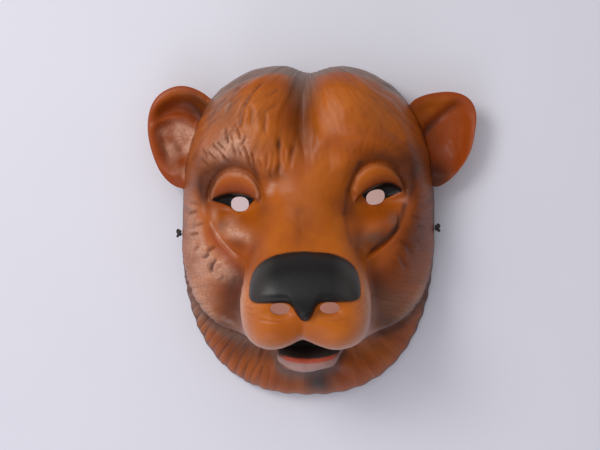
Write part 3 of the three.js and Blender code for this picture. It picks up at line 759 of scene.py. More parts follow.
# The painted mouth, in the places of the finished face: its middle, half width and upper limit, where it
# starts on the muzzle's wall and how high that wall is, and the level and curl of the lower lip's upper edge
# and of the pink's lower edge. The red and the pink fade in between two distances over these edges.
PAINTED_MOUTH = {"x": 1.0, "half_width": 17.5, "top": -52.0, "wall_at": 1.1, "wall": 25.0,
                 "lip": (-71.4, 2.6), "pink": (-80.2, 6.5)}
LIP_RED = {"ends": (0.95, 0.7), "low": (-3.4, -2.2), "high": (1.0, 0.0)}
LIP_PINK = {"ends": (1.2, 1.05), "low": (-0.8, 0.8), "high": (-0.6, -2.6)}


def mouth_marks(x, y, reach):
    """Black of the mouth as a distance inside it, and the weights of the lower lip's red and pink strips."""
    across = np.abs(x - PAINTED_MOUTH["x"]) / PAINTED_MOUTH["half_width"]
    over_lip, over_pink = (y - PAINTED_MOUTH[edge][0] - PAINTED_MOUTH[edge][1] * across ** 2
                           for edge in ("lip", "pink"))
    under_muzzle = (reach - PAINTED_MOUTH["wall_at"]) * PAINTED_MOUTH["wall"]
    sides = (1.0 - across) * PAINTED_MOUTH["half_width"]
    black = np.minimum.reduce([over_lip, under_muzzle, sides, PAINTED_MOUTH["top"] - y])
    red, pink = (ease(*strip["ends"], across) * ease(*strip["low"], over_low) * ease(*strip["high"], over_lip)
                 for strip, over_low in ((LIP_RED, over_lip), (LIP_PINK, over_pink)))
    return black, red, pink


# Soft patches of paint: mark, x, y, reach in x, reach in y, weight on the left, weight on the right. The
# blush patches, nearly all on the left, are pinkish paint and painted sheen on the side towards the light;
# the shade patches, heavier on the right, are airbrushed brown and painted shade on the side away from it.
PATCHES = (
    ("shade", 24.0, 14.0, 5.0, 9.0, 0.35, 0.6),
    ("shade", 42.0, -5.0, 6.0, 5.0, 0.5, 0.7),
    ("shade", 61.0, 38.0, 11.0, 12.0, 0.5, 1.0),
    ("shade", 30.0, -6.0, 5.0, 14.0, 0.3, 0.6),
    ("shade", 58.0, 30.0, 9.0, 9.0, 0.7, 0.3),
    ("shade", 18.0, 34.0, 7.0, 4.5, 0.6, 0.2),
    ("shade", 52.0, -38.0, 5.0, 10.0, 0.45, 0.4),
    ("russet", 53.0, -36.0, 7.0, 10.0, 0.6, 0.0),
    ("shade", 64.0, -6.0, 9.0, 22.0, 0.0, 0.75),
    ("shade", 53.0, -54.0, 8.0, 7.0, 0.2, 0.5),
    ("shade", 0.0, -92.0, 26.0, 6.0, 0.4, 0.4),
    ("shade", 0.0, 8.0, 10.0, 16.0, 0.22, 0.22),
    ("blush_and_sheen", 44.0, 50.0, 16.0, 9.0, 1.0, 0.0),
    ("blush_and_sheen", 61.0, -18.5, 6.5, 8.5, 1.1, 0.0),
    ("blush_and_sheen", 63.0, -2.0, 2.5, 8.0, 0.8, 0.0),
    ("blush_and_sheen", 44.0, 8.0, 4.0, 4.0, 0.8, 0.0),
    ("blush_and_sheen", 42.0, 1.5, 7.0, 4.0, 1.1, 0.1),
    ("blush_and_sheen", 35.0, -2.0, 3.5, 3.0, 0.7, 0.0),
    ("blush_and_sheen", 54.5, 12.0, 2.0, 4.5, 0.8, 0.0),
    ("blush_and_sheen", 70.0, 6.0, 6.0, 24.0, 0.85, 0.0),
    ("blush_and_sheen", 54.5, -25.0, 4.5, 4.0, 0.8, 0.0),
    ("blush_and_sheen", 70.0, -31.0, 6.5, 16.0, 0.85, 0.25),
    ("blush_and_sheen", 66.0, -41.0, 6.0, 7.0, 0.6, 0.25),
    ("honey", 24.0, 62.0, 20.0, 22.0, 0.9, 0.9),
    ("russet", 55.0, -34.0, 14.0, 18.0, 0.5, 0.6),
    ("russet", 64.0, 10.0, 12.0, 40.0, 0.3, 0.6),
    ("taupe", 48.0, 76.0, 12.0, 16.0, 0.5, 0.2),
    ("taupe", 58.0, -44.0, 8.0, 12.0, 0.0, 0.45),
    ("taupe", 49.5, 5.5, 3.0, 4.0, 0.45, 0.4),
    ("taupe", 38.5, -4.5, 7.0, 3.0, 0.0, 0.45),
    ("russet", 20.0, -90.0, 15.0, 8.0, 0.5, 0.8),
)

# Lines of paint: mark, start x, y, end x, y, width, weight. The blush lines along the left pouch's fold and
# at the left eye's inner corner are painted highlights, and the shade lines beside the eyes and along the
# right pouch's crease are painted shade, partly airbrushed brown.
PAINT_LINES = (
    ("blush_and_sheen", -56.0, 7.0, -52.2, -0.7, 0.8, 0.9),
    ("blush_and_sheen", -52.2, -0.7, -47.5, -12.0, 0.8, 0.9),
    ("russet", -55.8, 2.5, -53.8, -9.5, 2.2, 0.8),
    ("russet", -53.8, -9.5, -51.0, -18.5, 2.2, 0.8),
    ("shade", 32.5, 40.0, 25.2, 25.0, 1.5, 0.5),
    ("shade", 25.2, 24.0, 22.6, 11.0, 1.3, 0.35),
    ("shade", -29.0, 41.0, -26.5, 23.0, 2.2, 0.5),
    ("shade", -3.3, 14.0, -3.3, -7.0, 2.0, 0.14),
    ("blush_and_sheen", -18.5, 27.5, -20.0, 24.5, 2.2, 1.1),
    ("shade", 22.6, 10.0, 26.0, -6.0, 1.3, 0.35),
    ("shade", 58.6, 15.0, 53.0, 0.4, 1.8, 0.8),
    ("shade", 53.6, 1.9, 43.8, -10.6, 1.8, 0.8),
)

# Bands of paint along lines of the face: mark, the measure that is even along the line, its value there,
# width, weight on the left, weight on the right, and the levels and the distances from the middle between
# which it fades in. The shade bands are airbrushed brown and painted shade in the hollows, and the taupe
# under the cheek's fold is painted shade; the blush along the fold and the muzzle's rim and the pink on the
# muzzle's lower wall are painted sheen.
WHOLE = (-2.0, -1.0)
BANDS = (
    ("shade", "lid", 1.2, 0.22, 0.65, 0.65, (12.0, 22.0), (20.0, 36.0)),
    ("shade", "muzzle", 1.25, 0.2, 0.95, 0.48, (-8.0, -30.0), WHOLE),
    ("shade", "jaw", 1.0, 0.035, 0.8, 0.8, (-20.0, -45.0), WHOLE),
    ("shade", "middle", 0.0, 7.5, 0.85, 0.85, (36.0, 60.0), WHOLE),
    ("blush_and_sheen", "jaw", 0.945, 0.022, 0.9, 0.6, (-20.0, -45.0), (20.0, 40.0)),
    ("blush_and_sheen", "muzzle", 0.88, 0.18, 1.0, 1.0, (-18.0, -36.0), WHOLE),
    ("pink", "muzzle", 0.95, 0.21, 0.8, 0.8, (-34.0, -58.0), WHOLE),
    ("taupe", "jaw", 1.03, 0.03, 0.4, 0.0, (-20.0, -45.0), WHOLE),
    ("taupe", "middle", 0.0, 7.5, 0.7, 0.7, (66.0, 90.0), WHOLE),
)

# The eye's black over and under the lids' edges. The upper lid's own coat, its russet and shade near the
# edge, which are partly painted shade, and the blush along its border, a painted highlight, with the weights
# of the left and the right. Then shade at the sides and the rim, blush on proud skin as a painted highlight,
# honey on the muzzle, taupe round the crown, soot on the chin, and painted sheen in soot grey on the ends of
# the nose.
EYE_PAINT = {"over": 0.6, "under": 0.2, "half_width": 17.0}
LID_PAINT = {"inside": (1.0, 0.75), "russet_from": (13.0, 1.0), "russet": (1.1, 0.7),
             "shade_from": (7.0, 1.0), "shade": 0.45, "border_at": 0.9, "border_width": 0.06,
             "border": (0.5, 0.15)}
EDGE_SHADE = {"side": 0.3, "columns": (62.0, 80.0), "rim": 0.8, "shares": (0.96, 0.99)}
PROUD_HIGHLIGHT = {"plain": 0.75, "proud": 0.7}
MUZZLE_HONEY = {"muzzle": (1.05, 0.6), "rows": (70.0, 20.0)}
CROWN_TAUPE = {"waver": 0.008, "cell": 4.0, "left": 0.018, "shares": (0.926, 0.952), "rows": (72.0, 86.0)}
CHIN_SOOT = {"x": 5.0, "y": -95.0, "reach_x": 9.0, "reach_y": 7.0, "weight": 0.95}
NOSE_END_SHEEN = {"columns": (14.0, 26.0), "edge": (-0.5, 0.5)}


def paint_marks(x, y, share, relief_marks, base):
    """What the paint follows on the face, one value for each point.

    Edges are distances in millimetres inside a painted field. The rest are weights from 0 to 1: the soft
    patches, painted lines and bands of the tables, with their painted shade and painted sheen, shade at the
    sides, taupe round the crown, soot on the chin, painted sheen on the nose's ends, honey on the proud
    middle, and settled pigment and painted shade in the grooves.
    """
    ax, ey = eye_frame(x, y)
    away = np.abs(x)
    left = x < 0.0
    reach = muzzle_reach(x, y)
    oval = oval_reach(ax, ey, LID)
    nose = nose_depth(x, y)
    over_edge = ey - lid_edge(x, ax)
    eye = np.minimum.reduce([EYE_PAINT["over"] - over_edge, ey - lower_lid(x, ax) - EYE_PAINT["under"],
                             EYE_PAINT["half_width"] - np.abs(ax - LID["x"])])
    mouth, red, pink = mouth_marks(base[..., 0], base[..., 1], reach)
    soft = {name: np.zeros_like(x) for name in ("shade", "blush_and_sheen", "honey", "russet", "taupe")}
    for name, at_x, at_y, reach_x, reach_y, *weights in PATCHES:
        soft[name] += np.where(left, *weights) * bell((ax - at_x) / reach_x, (ey - at_y) / reach_y)
    for name, x0, y0, x1, y1, width, weight in PAINT_LINES:
        soft[name] += weight * bell(*line_places(x, y, (x0, y0), (x1, y1), width))
    # Raised skin takes more blush: a painted highlight.
    soft["blush_and_sheen"] *= PROUD_HIGHLIGHT["plain"] + PROUD_HIGHLIGHT["proud"] * relief_marks["proud"]
    soft["pink"] = np.zeros_like(x)
    measures = {"lid": (oval, ey, ax), "muzzle": (reach, y, away), "jaw": (jaw_reach(x, y), y, away),
                "middle": (x, y, away)}
    for name, measure, at, width, weight_left, weight_right, rows, columns in BANDS:
        value, level, distance = measures[measure]
        weight = np.where(left, weight_left, weight_right) * ease(*rows, level) * ease(*columns, distance)
        soft[name] += weight * bell((value - at) / width)
    lid = ease(*LID_PAINT["inside"], oval) * (over_edge > 0.0)
    border = bell((oval - LID_PAINT["border_at"]) / LID_PAINT["border_width"]) * (over_edge > 0.0)
    sides = EDGE_SHADE["side"] * ease(*EDGE_SHADE["columns"], away)
    sides = sides + EDGE_SHADE["rim"] * ease(*EDGE_SHADE["shares"], share)
    lid_shade = LID_PAINT["shade"] * ease(*LID_PAINT["shade_from"], over_edge)
    lid_russet = np.where(left, *LID_PAINT["russet"]) * ease(*LID_PAINT["russet_from"], over_edge)
    muzzle_honey = ease(*MUZZLE_HONEY["muzzle"], reach) * ease(*MUZZLE_HONEY["rows"], y)
    crown = share + CROWN_TAUPE["waver"] * noise(x, y, CROWN_TAUPE["cell"], "crown band")
    crown = crown + CROWN_TAUPE["left"] * left
    crown = ease(*CROWN_TAUPE["shares"], crown) * ease(*CROWN_TAUPE["rows"], y)
    chin = CHIN_SOOT["weight"] * np.exp(-oval_reach(x, y, CHIN_SOOT) ** 2)
    nose_end_sheen = ease(*NOSE_END_SHEEN["columns"], away) * ease(*NOSE_END_SHEEN["edge"], nose)
    marks = {
        "nose_edge": nose,
        "eye_edge": eye,
        "mouth_edge": mouth,
        "lip_red": red,
        "lip_pink_and_rim_sheen": np.maximum(pink, soft["pink"]),
        "shade": mix(soft["shade"] + sides, lid_shade, lid),
        "blush_and_sheen": soft["blush_and_sheen"] + np.where(left, *LID_PAINT["border"]) * border,
        "honey": np.maximum.reduce([soft["honey"], muzzle_honey, lid]),
        "russet": soft["russet"] + lid_russet * lid,
        "taupe": np.maximum(crown, soft["taupe"]),
        "settled_and_shade": relief_marks["settled_and_shade"],
        "soot_and_sheen": chin + nose_end_sheen,
    }
    for name in marks:
        if not name.endswith("_edge"):
            marks[name] = np.clip(marks[name], 0.0, 1.0)
    return marks


# Surfaces of the ears

# What the two ears share: the dish and its thickness, the roll along the rim, the tuck of the lower end, the
# fold and its creases, and the reach of the bells about the places of each ear
EAR = {"power": 2.3, "bottom": 8.0, "depth": 11.5, "dish_power": 2.4, "top_lift": 0.05, "half_thickness": 2.2,
       "rim_power": 8.0, "inside": (1.0, 0.8), "back": 0.5}
EAR_ROLL = {"at": 0.85, "width": 0.12, "rows": (-0.9, -0.2)}
EAR_TUCK = {"from": 8.0, "reach": 10.0}
EAR_FOLD = {"ends": (1.2, 0.9), "flap": (0.0, 7.0), "crease_width": 1.5, "crease_depth": 1.3}
EAR_REACH = {"lobe": (11.0, 9.0), "bowl": (9.0, 11.0), "spot": (6.0, 6.0)}

# Grain of the ears: noise, height, cell, stretch in x, stretch in y
EAR_GRAIN = (("ear grain", 0.3, 4.0, 1.0, 1.0), ("ear streaks", 0.2, 2.4, 1.5, 0.6))

# Paint of the ears: the pale field, pinkish paint and painted sheen, by its share of the way out and its
# distance over the fold, its two blush weights, the painted shade along the fold, settled pigment and painted
# shade in the valley and the creases, and the flap's share, by which honey lightens the shaded flap as
# painted light and russet gives way
EAR_PAINT = {"pale": (0.9, 0.6), "pale_over": (1.0, -6.0), "blush_and_sheen": (0.9, 0.6), "blush_cell": 5.0,
             "shade": (0.8, 0.15), "settled_and_shade": (0.45, 0.7), "flap": 0.8}

# Each ear: middle, half width, half height, lean outwards in degrees, how much wider its top is and how much
# longer its lower half, and how far its lower end is tucked in. The fold across it follows a bowed line from
# its root to its end, with a ridge, a valley and a flap: where each lies above the line, its height or depth,
# and its width. Then the rim's roll, the place and height of the lobe, the place and depth of the bowl, the
# place of a bright spot, its creases, and the weights of its paint.
EARS = {
    "left": {
        "side": -1.0, "x": 71.5, "y": 61.0, "half_width": 26.0, "half_height": 32.5, "lean": 24.8,
        "taper": -0.17, "drop": 0.0, "tuck": 0.0, "root": (65.0, 64.0), "end": (92.0, 69.5), "bow": 7.0,
        "ridge": (0.0, 3.6, 2.6), "valley": (8.5, 1.8, 5.0), "flap": 1.6, "roll": 2.4,
        "lobe": (79.0, 38.0, 6.0), "bowl": (78.0, 53.0, 2.0), "spot": (78.0, 46.0),
        "creases": ((91.0, 64.0, 85.5, 45.0), (82.5, 61.0, 78.0, 49.0)),
        "shade": 1.0, "flap_shade": 1.0, "blush_and_sheen": 1.0, "lobe_shade": 0.1,
    },
    "right": {
        "side": 1.0, "x": 84.4, "y": 57.6, "half_width": 20.4, "half_height": 27.0, "lean": -7.0,
        "taper": 0.42, "drop": 0.12, "tuck": 1.5, "root": (72.0, 59.0), "end": (94.0, 77.0), "bow": 0.8,
        "ridge": (-5.0, 0.2, 3.6), "valley": (0.0, 1.5, 2.2), "flap": 0.7, "roll": 0.7,
        "lobe": (79.0, 33.0, 4.0), "bowl": (82.0, 54.0, 2.0), "spot": (77.0, 55.0),
        "creases": (),
        "shade": 0.8, "flap_shade": 0.0, "blush_and_sheen": 0.0, "lobe_shade": 1.3,
    },
}


def ear_surface(ear, face):
    """One face of an ear: a leaning superellipse whose top may be wider, dished as a power of the way out to
    its rolled rim. Front and back part by a thickness that rounds to nothing at the rim. Across the front
    runs a fold: a bell-shaped ridge, a bell-shaped valley and a flap that eases up beyond it, all placed by
    the distance above a bowed line. Returns the points and the marks of the paint."""
    share, angle = disc_grid(**EAR_GRID)
    c = np.cos(angle)
    s = np.sin(angle)
    oval = oval_radius(c, s, ear["half_width"], ear["half_height"], EAR["power"])
    v = share * oval * s
    u = share * oval * c * (1.0 + ear["taper"] * v / ear["half_height"])
    v = np.where(v < 0.0, v * (1.0 + ear["drop"]), v)
    u = u - ear["tuck"] * (np.clip(-v - EAR_TUCK["from"], 0.0, None) / EAR_TUCK["reach"]) ** 2
    lean = radians(ear["lean"])
    x = ear["x"] + u * cos(lean) + v * sin(lean)
    y = ear["y"] - u * sin(lean) + v * cos(lean)
    low_end, bowl, spot = (bell((x - ear[name][0]) / reach[0], (y - ear[name][1]) / reach[1])
                           for name, reach in EAR_REACH.items())
    along, across, length = line_frame(x, y, ear["root"], ear["end"])
    along = along / length
    above = -across - ear["bow"] * 4.0 * along * (1.0 - along)
    inside = ease(*EAR["inside"], share)
    stretch = inside * ease(*EAR_FOLD["ends"], along)
    ridge, valley = (bell((above - ear[name][0]) / ear[name][2]) * stretch for name in ("ridge", "valley"))
    flap = ease(*EAR_FOLD["flap"], above - ear["valley"][0]) * inside
    lobe = low_end * inside
    roll = ear["roll"] * bell((share - EAR_ROLL["at"]) / EAR_ROLL["width"])
    roll = roll * ease(*EAR_ROLL["rows"], v / ear["half_height"])
    creases = np.zeros_like(x)
    for x0, y0, x1, y1 in ear["creases"]:
        creases = creases + stroke(x, y, (x0, y0), (x1, y1), EAR_FOLD["crease_width"])
    fold = ear["ridge"][1] * ridge - ear["valley"][1] * valley + ear["flap"] * flap
    fold = fold + roll * (1.0 - lobe) + ear["lobe"][2] * lobe
    fold = fold - (ear["bowl"][2] * bowl + EAR_FOLD["crease_depth"] * creases) * inside
    grain = sum(height * noise(x * stretch_x, y * stretch_y, cell, name)
                for name, height, cell, stretch_x, stretch_y in EAR_GRAIN)
    dish = EAR["bottom"] + EAR["depth"] * share ** EAR["dish_power"] + EAR["top_lift"] * v
    thickness = EAR["half_thickness"] * np.sqrt(1.0 - share ** EAR["rim_power"])
    z = dish + face * thickness + (fold + grain * inside if face > 0 else EAR["back"] * fold)
    pale = ease(*EAR_PAINT["pale"], share) * ease(*EAR_PAINT["pale_over"], above)
    plain, patchy = EAR_PAINT["blush_and_sheen"]
    mottling = plain + patchy * noise(x, y, EAR_PAINT["blush_cell"], "ear blush")
    in_valley, in_creases = EAR_PAINT["settled_and_shade"]
    shelf = np.maximum(ear["shade"] * valley, ear["flap_shade"] * flap) * ease(*EAR_PAINT["shade"], along)
    marks = {
        "settled_and_shade": np.clip(in_valley * valley + in_creases * creases, 0.0, 1.0),
        "shade": np.clip(shelf + ear["lobe_shade"] * low_end, 0.0, 1.0),
        # On the flap, honey and the russet that gives way to it are painted light that lifts the flap out of
        # its shade.
        "honey": np.clip(ridge + spot + EAR_PAINT["flap"] * flap, 0.0, 1.0),
        "blush_and_sheen": ear["blush_and_sheen"] * pale * (1.0 - spot) * mottling,
        "russet": 1.0 - EAR_PAINT["flap"] * flap,
    }
    return np.stack([ear["side"] * x, y, z], axis=-1), marks


# Meshes

# What the mesh carries for the paint, and the distance that stands for far outside a painted field
CORNER_MARKS = ("nose_edge", "eye_edge", "mouth_edge", "lip_red", "lip_pink_and_rim_sheen", "shade",
                "taupe", "soot_and_sheen", "honey", "settled_and_shade", "russet", "blush_and_sheen", "furry")
FAR_OUTSIDE = -50.0

# Over this level the paint's strands follow the crown's lay. On an ear they run along Y, four times as long.
# The hollow's surface is smoothed this many times.
CROWN_LAY_FROM = 40.0
EAR_LAY = (1.0, 0.25, 1.0)
HOLLOW_SMOOTHING = 3


def grid_faces(shape):
    """Quads of a grid of points, row by row."""
    index = np.arange(shape[0] * shape[1]).reshape(shape)
    return np.stack([index[:-1, :-1], index[:-1, 1:], index[1:, 1:], index[1:, :-1]], axis=-1).reshape(-1, 4)


def grid_border(shape):
    """Indices round the border of a grid, anticlockwise."""
    index = np.arange(shape[0] * shape[1]).reshape(shape)
    return np.concatenate([index[0, :-1], index[:-1, -1], index[-1, :0:-1], index[:0:-1, 0]])


def new_object(name, points, quads, triangles=None, materials=()):
    """Mesh object from points in millimetres, quads and triangles, with smooth faces."""
    mesh = bpy.data.meshes.new(name)
    corners = [np.asarray(quads).ravel()]
    totals = [np.full(len(quads), 4)]
    if triangles is not None:
        corners.append(np.asarray(triangles).ravel())
        totals.append(np.full(len(triangles), 3))
    corners = np.concatenate(corners).astype(np.int32)
    totals = np.concatenate(totals).astype(np.int32)
    starts = np.concatenate([[0], np.cumsum(totals)[:-1]]).astype(np.int32)
    mesh.vertices.add(len(points))
    mesh.vertices.foreach_set("co", (np.asarray(points) * MM).astype(np.float32).ravel())
    mesh.loops.add(len(corners))
    mesh.loops.foreach_set("vertex_index", corners)
    mesh.polygons.add(len(totals))
    mesh.polygons.foreach_set("loop_start", starts)
    mesh.polygons.foreach_set("use_smooth", np.ones(len(totals), dtype=bool))
    mesh.update(calc_edges=True)
    mesh.validate()
    for material in materials:
        mesh.materials.append(material)
    obj = bpy.data.objects.new(name, mesh)
    bpy.context.scene.collection.objects.link(obj)
    return obj


def store_on_corners(mesh, name, kind, key, values):
    """Store what each point has on the face corners, where cutting and joining keep it."""
    corner = np.empty(len(mesh.loops), dtype=np.int32)
    mesh.loops.foreach_get("vertex_index", corner)
    layer = mesh.attributes.new(name, kind, "CORNER")
    layer.data.foreach_set(key, values[corner].ravel())


def mark_mesh(mesh, marks, lay):
    """Give the points of a mesh's outer grid, which come first, their marks and the lay of their fur: a place
    across the strands on a circle, and the way along them."""
    count = lay.shape[0] * lay.shape[1]
    for name in CORNER_MARKS:
        values = np.full(len(mesh.vertices), FAR_OUTSIDE if name.endswith("_edge") else 0.0, dtype=np.float32)
        if name in marks:
            values[:count] = marks[name].ravel()
        store_on_corners(mesh, name, "FLOAT", "value", values)
    values = np.zeros((len(mesh.vertices), 3), dtype=np.float32)
    values[:count] = lay.reshape(-1, 3) * MM
    store_on_corners(mesh, "fur_lay", "FLOAT_VECTOR", "vector", values)


def solid_under(name, points, materials):
    """Solid under a domed grid, closed by a fan from its border to the border's middle."""
    shape = points.shape[:2]
    border = grid_border(shape)
    flat = points.reshape(-1, 3)
    middle = flat[border].mean(axis=0)
    centre = np.full(len(border), len(flat))
    fan = np.stack([np.roll(border, -1), border, centre], axis=-1)
    return new_object(name, np.vstack([flat, middle]), grid_faces(shape), fan, materials)


def face_solid(size, materials):
    """Outer face as a closed solid, with its paint marks."""
    points, base, x, y, share, relief_marks = outer_face(size)
    obj = solid_under("face_outer", points, materials)
    marks = paint_marks(x, y, share, relief_marks, base)
    marks["furry"] = fur_weight(x, y, share)
    lays = {}
    for start in FUR_STARTS:
        turn, away = fur_lay(x, y, start)
        lays[start] = np.stack([FUR_RADIUS * np.cos(turn), FUR_RADIUS * np.sin(turn), away], axis=-1)
    mark_mesh(obj.data, marks, np.where((y > CROWN_LAY_FROM)[..., None], lays["crown"], lays["face"]))
    return obj


def smooth_grid(points, rounds):
    """Average each inner point of a grid with its four neighbours, a few times over."""
    for _ in range(rounds):
        inner = points[:-2, 1:-1] + points[2:, 1:-1] + points[1:-1, :-2] + points[1:-1, 2:]
        points[1:-1, 1:-1] = 0.5 * points[1:-1, 1:-1] + 0.125 * inner
    return points


def hollow_solid(size, materials):
    """The hollow behind the face: the plain outer surface moved in by the wall along its normals, and further
    where the fine outer surface comes near, with its border let down below the rim plane."""
    share, angle = disc_grid(**HOLLOW_GRID)
    base, _, _ = face_surface(size, share, angle, fine=False)
    normals = grid_normals(base)
    inner = smooth_grid(base - size["wall"] * normals, HOLLOW_SMOOTHING)
    outer, _, _ = face_surface(size, share, angle)
    room = np.sum((outer - inner) * normals, axis=-1)
    padded = np.pad(room, 1, mode="edge")
    rows, columns = room.shape
    shifts = [padded[i:i + rows, j:j + columns] for i in range(3) for j in range(3)]
    short = np.clip(size["wall"] - np.minimum.reduce(shifts), 0.0, None)
    inner = inner - short[..., None] * normals
    inset = 1.0 - size["wall"] / np.hypot(base[..., 0], base[..., 1])
    lowered = base * np.stack([inset, inset, np.zeros_like(share)], axis=-1) - (0.0, 0.0, size["wall"])
    rim = (share > RIM["at"])[..., None]
    return solid_under("face_hollow", np.where(rim, lowered, inner), materials)


def ear_solid(ear, materials):
    """An ear as a closed solid: its front and its back, which share their border."""
    front, marks = ear_surface(ear, 1.0)
    back, _ = ear_surface(ear, -1.0)
    shape = front.shape[:2]
    border = grid_border(shape)
    count = shape[0] * shape[1]
    remap = np.arange(count) + count
    remap[border] = border
    quads = np.vstack([grid_faces(shape), remap[grid_faces(shape)[:, ::-1]]])
    points = np.vstack([front.reshape(-1, 3), back.reshape(-1, 3)])
    used = np.unique(quads)
    packed = np.zeros(len(points), dtype=int)
    packed[used] = np.arange(len(used))
    quads = packed[quads]
    if ear["side"] < 0:
        quads = quads[:, ::-1]
    obj = new_object("ear", points[used], quads, None, materials)
    mark_mesh(obj.data, marks, front * EAR_LAY)
    return obj


def prism(name, x, y, half_width, half_height, squareness, slant, low, high, sides, materials):
    """Upright cutter whose section is a slanted superellipse."""
    angle = np.linspace(0.0, 2.0 * pi, sides, endpoint=False)
    c = np.cos(angle)
    s = np.sin(angle)
    radius = oval_radius(c, s, 1.0, 1.0, squareness)
    px = x + half_width * radius * c
    py = y + half_height * radius * s + slant * radius * c
    ring = np.arange(sides)
    after = np.roll(ring, -1)
    points = np.vstack([
        np.stack([px, py, np.full(sides, low)], axis=-1),
        np.stack([px, py, np.full(sides, high)], axis=-1),
        [(x, y, low), (x, y, high)],
    ])
    walls = np.stack([ring, after, after + sides, ring + sides], axis=-1)
    floor = np.stack([after, ring, np.full(sides, 2 * sides)], axis=-1)
    roof = np.stack([ring + sides, after + sides, np.full(sides, 2 * sides + 1)], axis=-1)
    return new_object(name, points, walls, np.vstack([floor, roof]), materials)


def cut_or_join(obj, others, operation):
    """Apply one boolean after the other to an object, then remove the tools."""
    for other in others:
        step = obj.modifiers.new("step", "BOOLEAN")
        step.operation = operation
        step.solver = "MANIFOLD"
        step.material_mode = "TRANSFER"
        step.object = other
    view = bpy.context.evaluated_depsgraph_get()
    mesh = bpy.data.meshes.new_from_object(obj.evaluated_get(view), depsgraph=view)
    old = obj.data
    obj.modifiers.clear()
    obj.data = mesh
    bpy.data.meshes.remove(old)
    for other in others:
        used = other.data
        bpy.data.objects.remove(other)
        bpy.data.meshes.remove(used)
    if not len(mesh.polygons):
        raise RuntimeError(f"nothing is left of {obj.name}")


def soften_seam(mesh, rings, rounds):
    """Round the line where the ears join the head: points that the joining made carry no mark of their own,
    and they and the rings round them are averaged with their neighbours."""
    count = len(mesh.vertices)
    own = np.empty(count, dtype=np.float32)
    mesh.attributes["own"].data.foreach_get("value", own)
    edges = np.empty(len(mesh.edges) * 2, dtype=np.int32)
    mesh.edges.foreach_get("vertices", edges)
    edges = edges.reshape(-1, 2)
    both = np.vstack([edges, edges[:, ::-1]])
    weight = (own < 0.5).astype(float)
    for _ in range(rings):
        spread = np.zeros(count)
        np.maximum.at(spread, both[:, 0], weight[both[:, 1]] - 1.0 / rings)
        weight = np.maximum(weight, spread)
    place = np.empty(count * 3, dtype=np.float32)
    mesh.vertices.foreach_get("co", place)
    place = place.reshape(-1, 3).astype(float)
    degree = np.maximum(np.bincount(both[:, 0], minlength=count), 1)
    for _ in range(rounds):
        sums = [np.bincount(both[:, 0], weights=column[both[:, 1]], minlength=count) for column in place.T]
        mean = np.stack(sums, axis=-1) / degree[:, None]
        place = place + 0.5 * weight[:, None] * (mean - place)
    mesh.vertices.foreach_set("co", place.astype(np.float32).ravel())
    mesh.attributes.remove(mesh.attributes["own"])
    mesh.update()


# Materials

def add_node(tree, kind, settings=None, inputs=None):
    """Add a node, set its properties, and set or link its inputs."""
    node = tree.nodes.new(kind)
    for key, value in (settings or {}).items():
        setattr(node, key, value)
    for key, value in (inputs or {}).items():
        if isinstance(value, bpy.types.NodeSocket):
            tree.links.new(value, node.inputs[key])
        else:
            node.inputs[key].default_value = value
    return node


def new_material(name):
    """Empty node material with its shader and output linked."""
    material = bpy.data.materials.new(name)
    material.use_nodes = True
    material.node_tree.nodes.clear()
    tree = material.node_tree
    shader = add_node(tree, "ShaderNodeBsdfPrincipled")
    add_node(tree, "ShaderNodeOutputMaterial", inputs={"Surface": shader.outputs["BSDF"]})
    return material, tree, shader


# Sockets of the mix node for colours, and how strongly vinyl bends light
FACTOR, MIX_A, MIX_B, MIX_OUT = 0, 6, 7, 2
VINYL_IOR = 1.52


def place_of(tree):
    """Place on the object."""
    return add_node(tree, "ShaderNodeTexCoord").outputs["Object"]


def mark(tree, name, output="Fac"):
    """A mark that the mesh carries."""
    return add_node(tree, "ShaderNodeAttribute", {"attribute_name": name}).outputs[output]


def sum_of(tree, operation, *values, clamp=True):
    """A sum, product or the like of values."""
    settings = {"operation": operation, "use_clamp": clamp}
    return add_node(tree, "ShaderNodeMath", settings, dict(enumerate(values))).outputs[0]


def over(tree, base, coat, share):
    """One colour over another."""
    inputs = {FACTOR: share, MIX_A: base, MIX_B: coat}
    return add_node(tree, "ShaderNodeMix", {"data_type": "RGBA"}, inputs).outputs[MIX_OUT]


def patches(tree, place, millimetres, detail, distortion=0.0):
    """Noise of patches of a size."""
    inputs = {"Vector": place, "Scale": 1.0 / (millimetres * MM), "Detail": detail, "Distortion": distortion}
    return add_node(tree, "ShaderNodeTexNoise", inputs=inputs).outputs["Fac"]


def add_bump(tree, shader, height, strength, millimetres):
    """Fine unevenness, too small for the mesh."""
    inputs = {"Height": height, "Strength": strength, "Distance": millimetres * MM}
    bump = add_node(tree, "ShaderNodeBump", inputs=inputs)
    tree.links.new(bump.outputs["Normal"], shader.inputs["Normal"])


# The painted skin: its strands, stretched along their lay, its patches with their size and detail, the waver
# and softness of painted edges in millimetres, roughness with what the mouth and the nose add to it, and the
# heights of its fine bumps
STRANDS = {"size": 0.9, "detail": 3.0, "stretch": (1.0, 1.0, 0.08)}
SKIN_PATCHES = {"cloud": (22.0, 3.0), "speck": (1.6, 2.0), "grain": (2.2, 4.0)}
EDGE_WAVER = (0.7, -0.35)
EDGE_SOFTNESS = {"nose_edge": 0.45, "mouth_edge": 0.7, "eye_edge": 0.5}
SKIN = {"roughness": (0.34, 0.46), "mouth_edge": 0.4, "nose_edge": -0.04, "specular": 0.22}
SKIN_BUMP = {"strands": 0.8, "grain": 0.25, "strength": 0.5, "depth": 0.35}


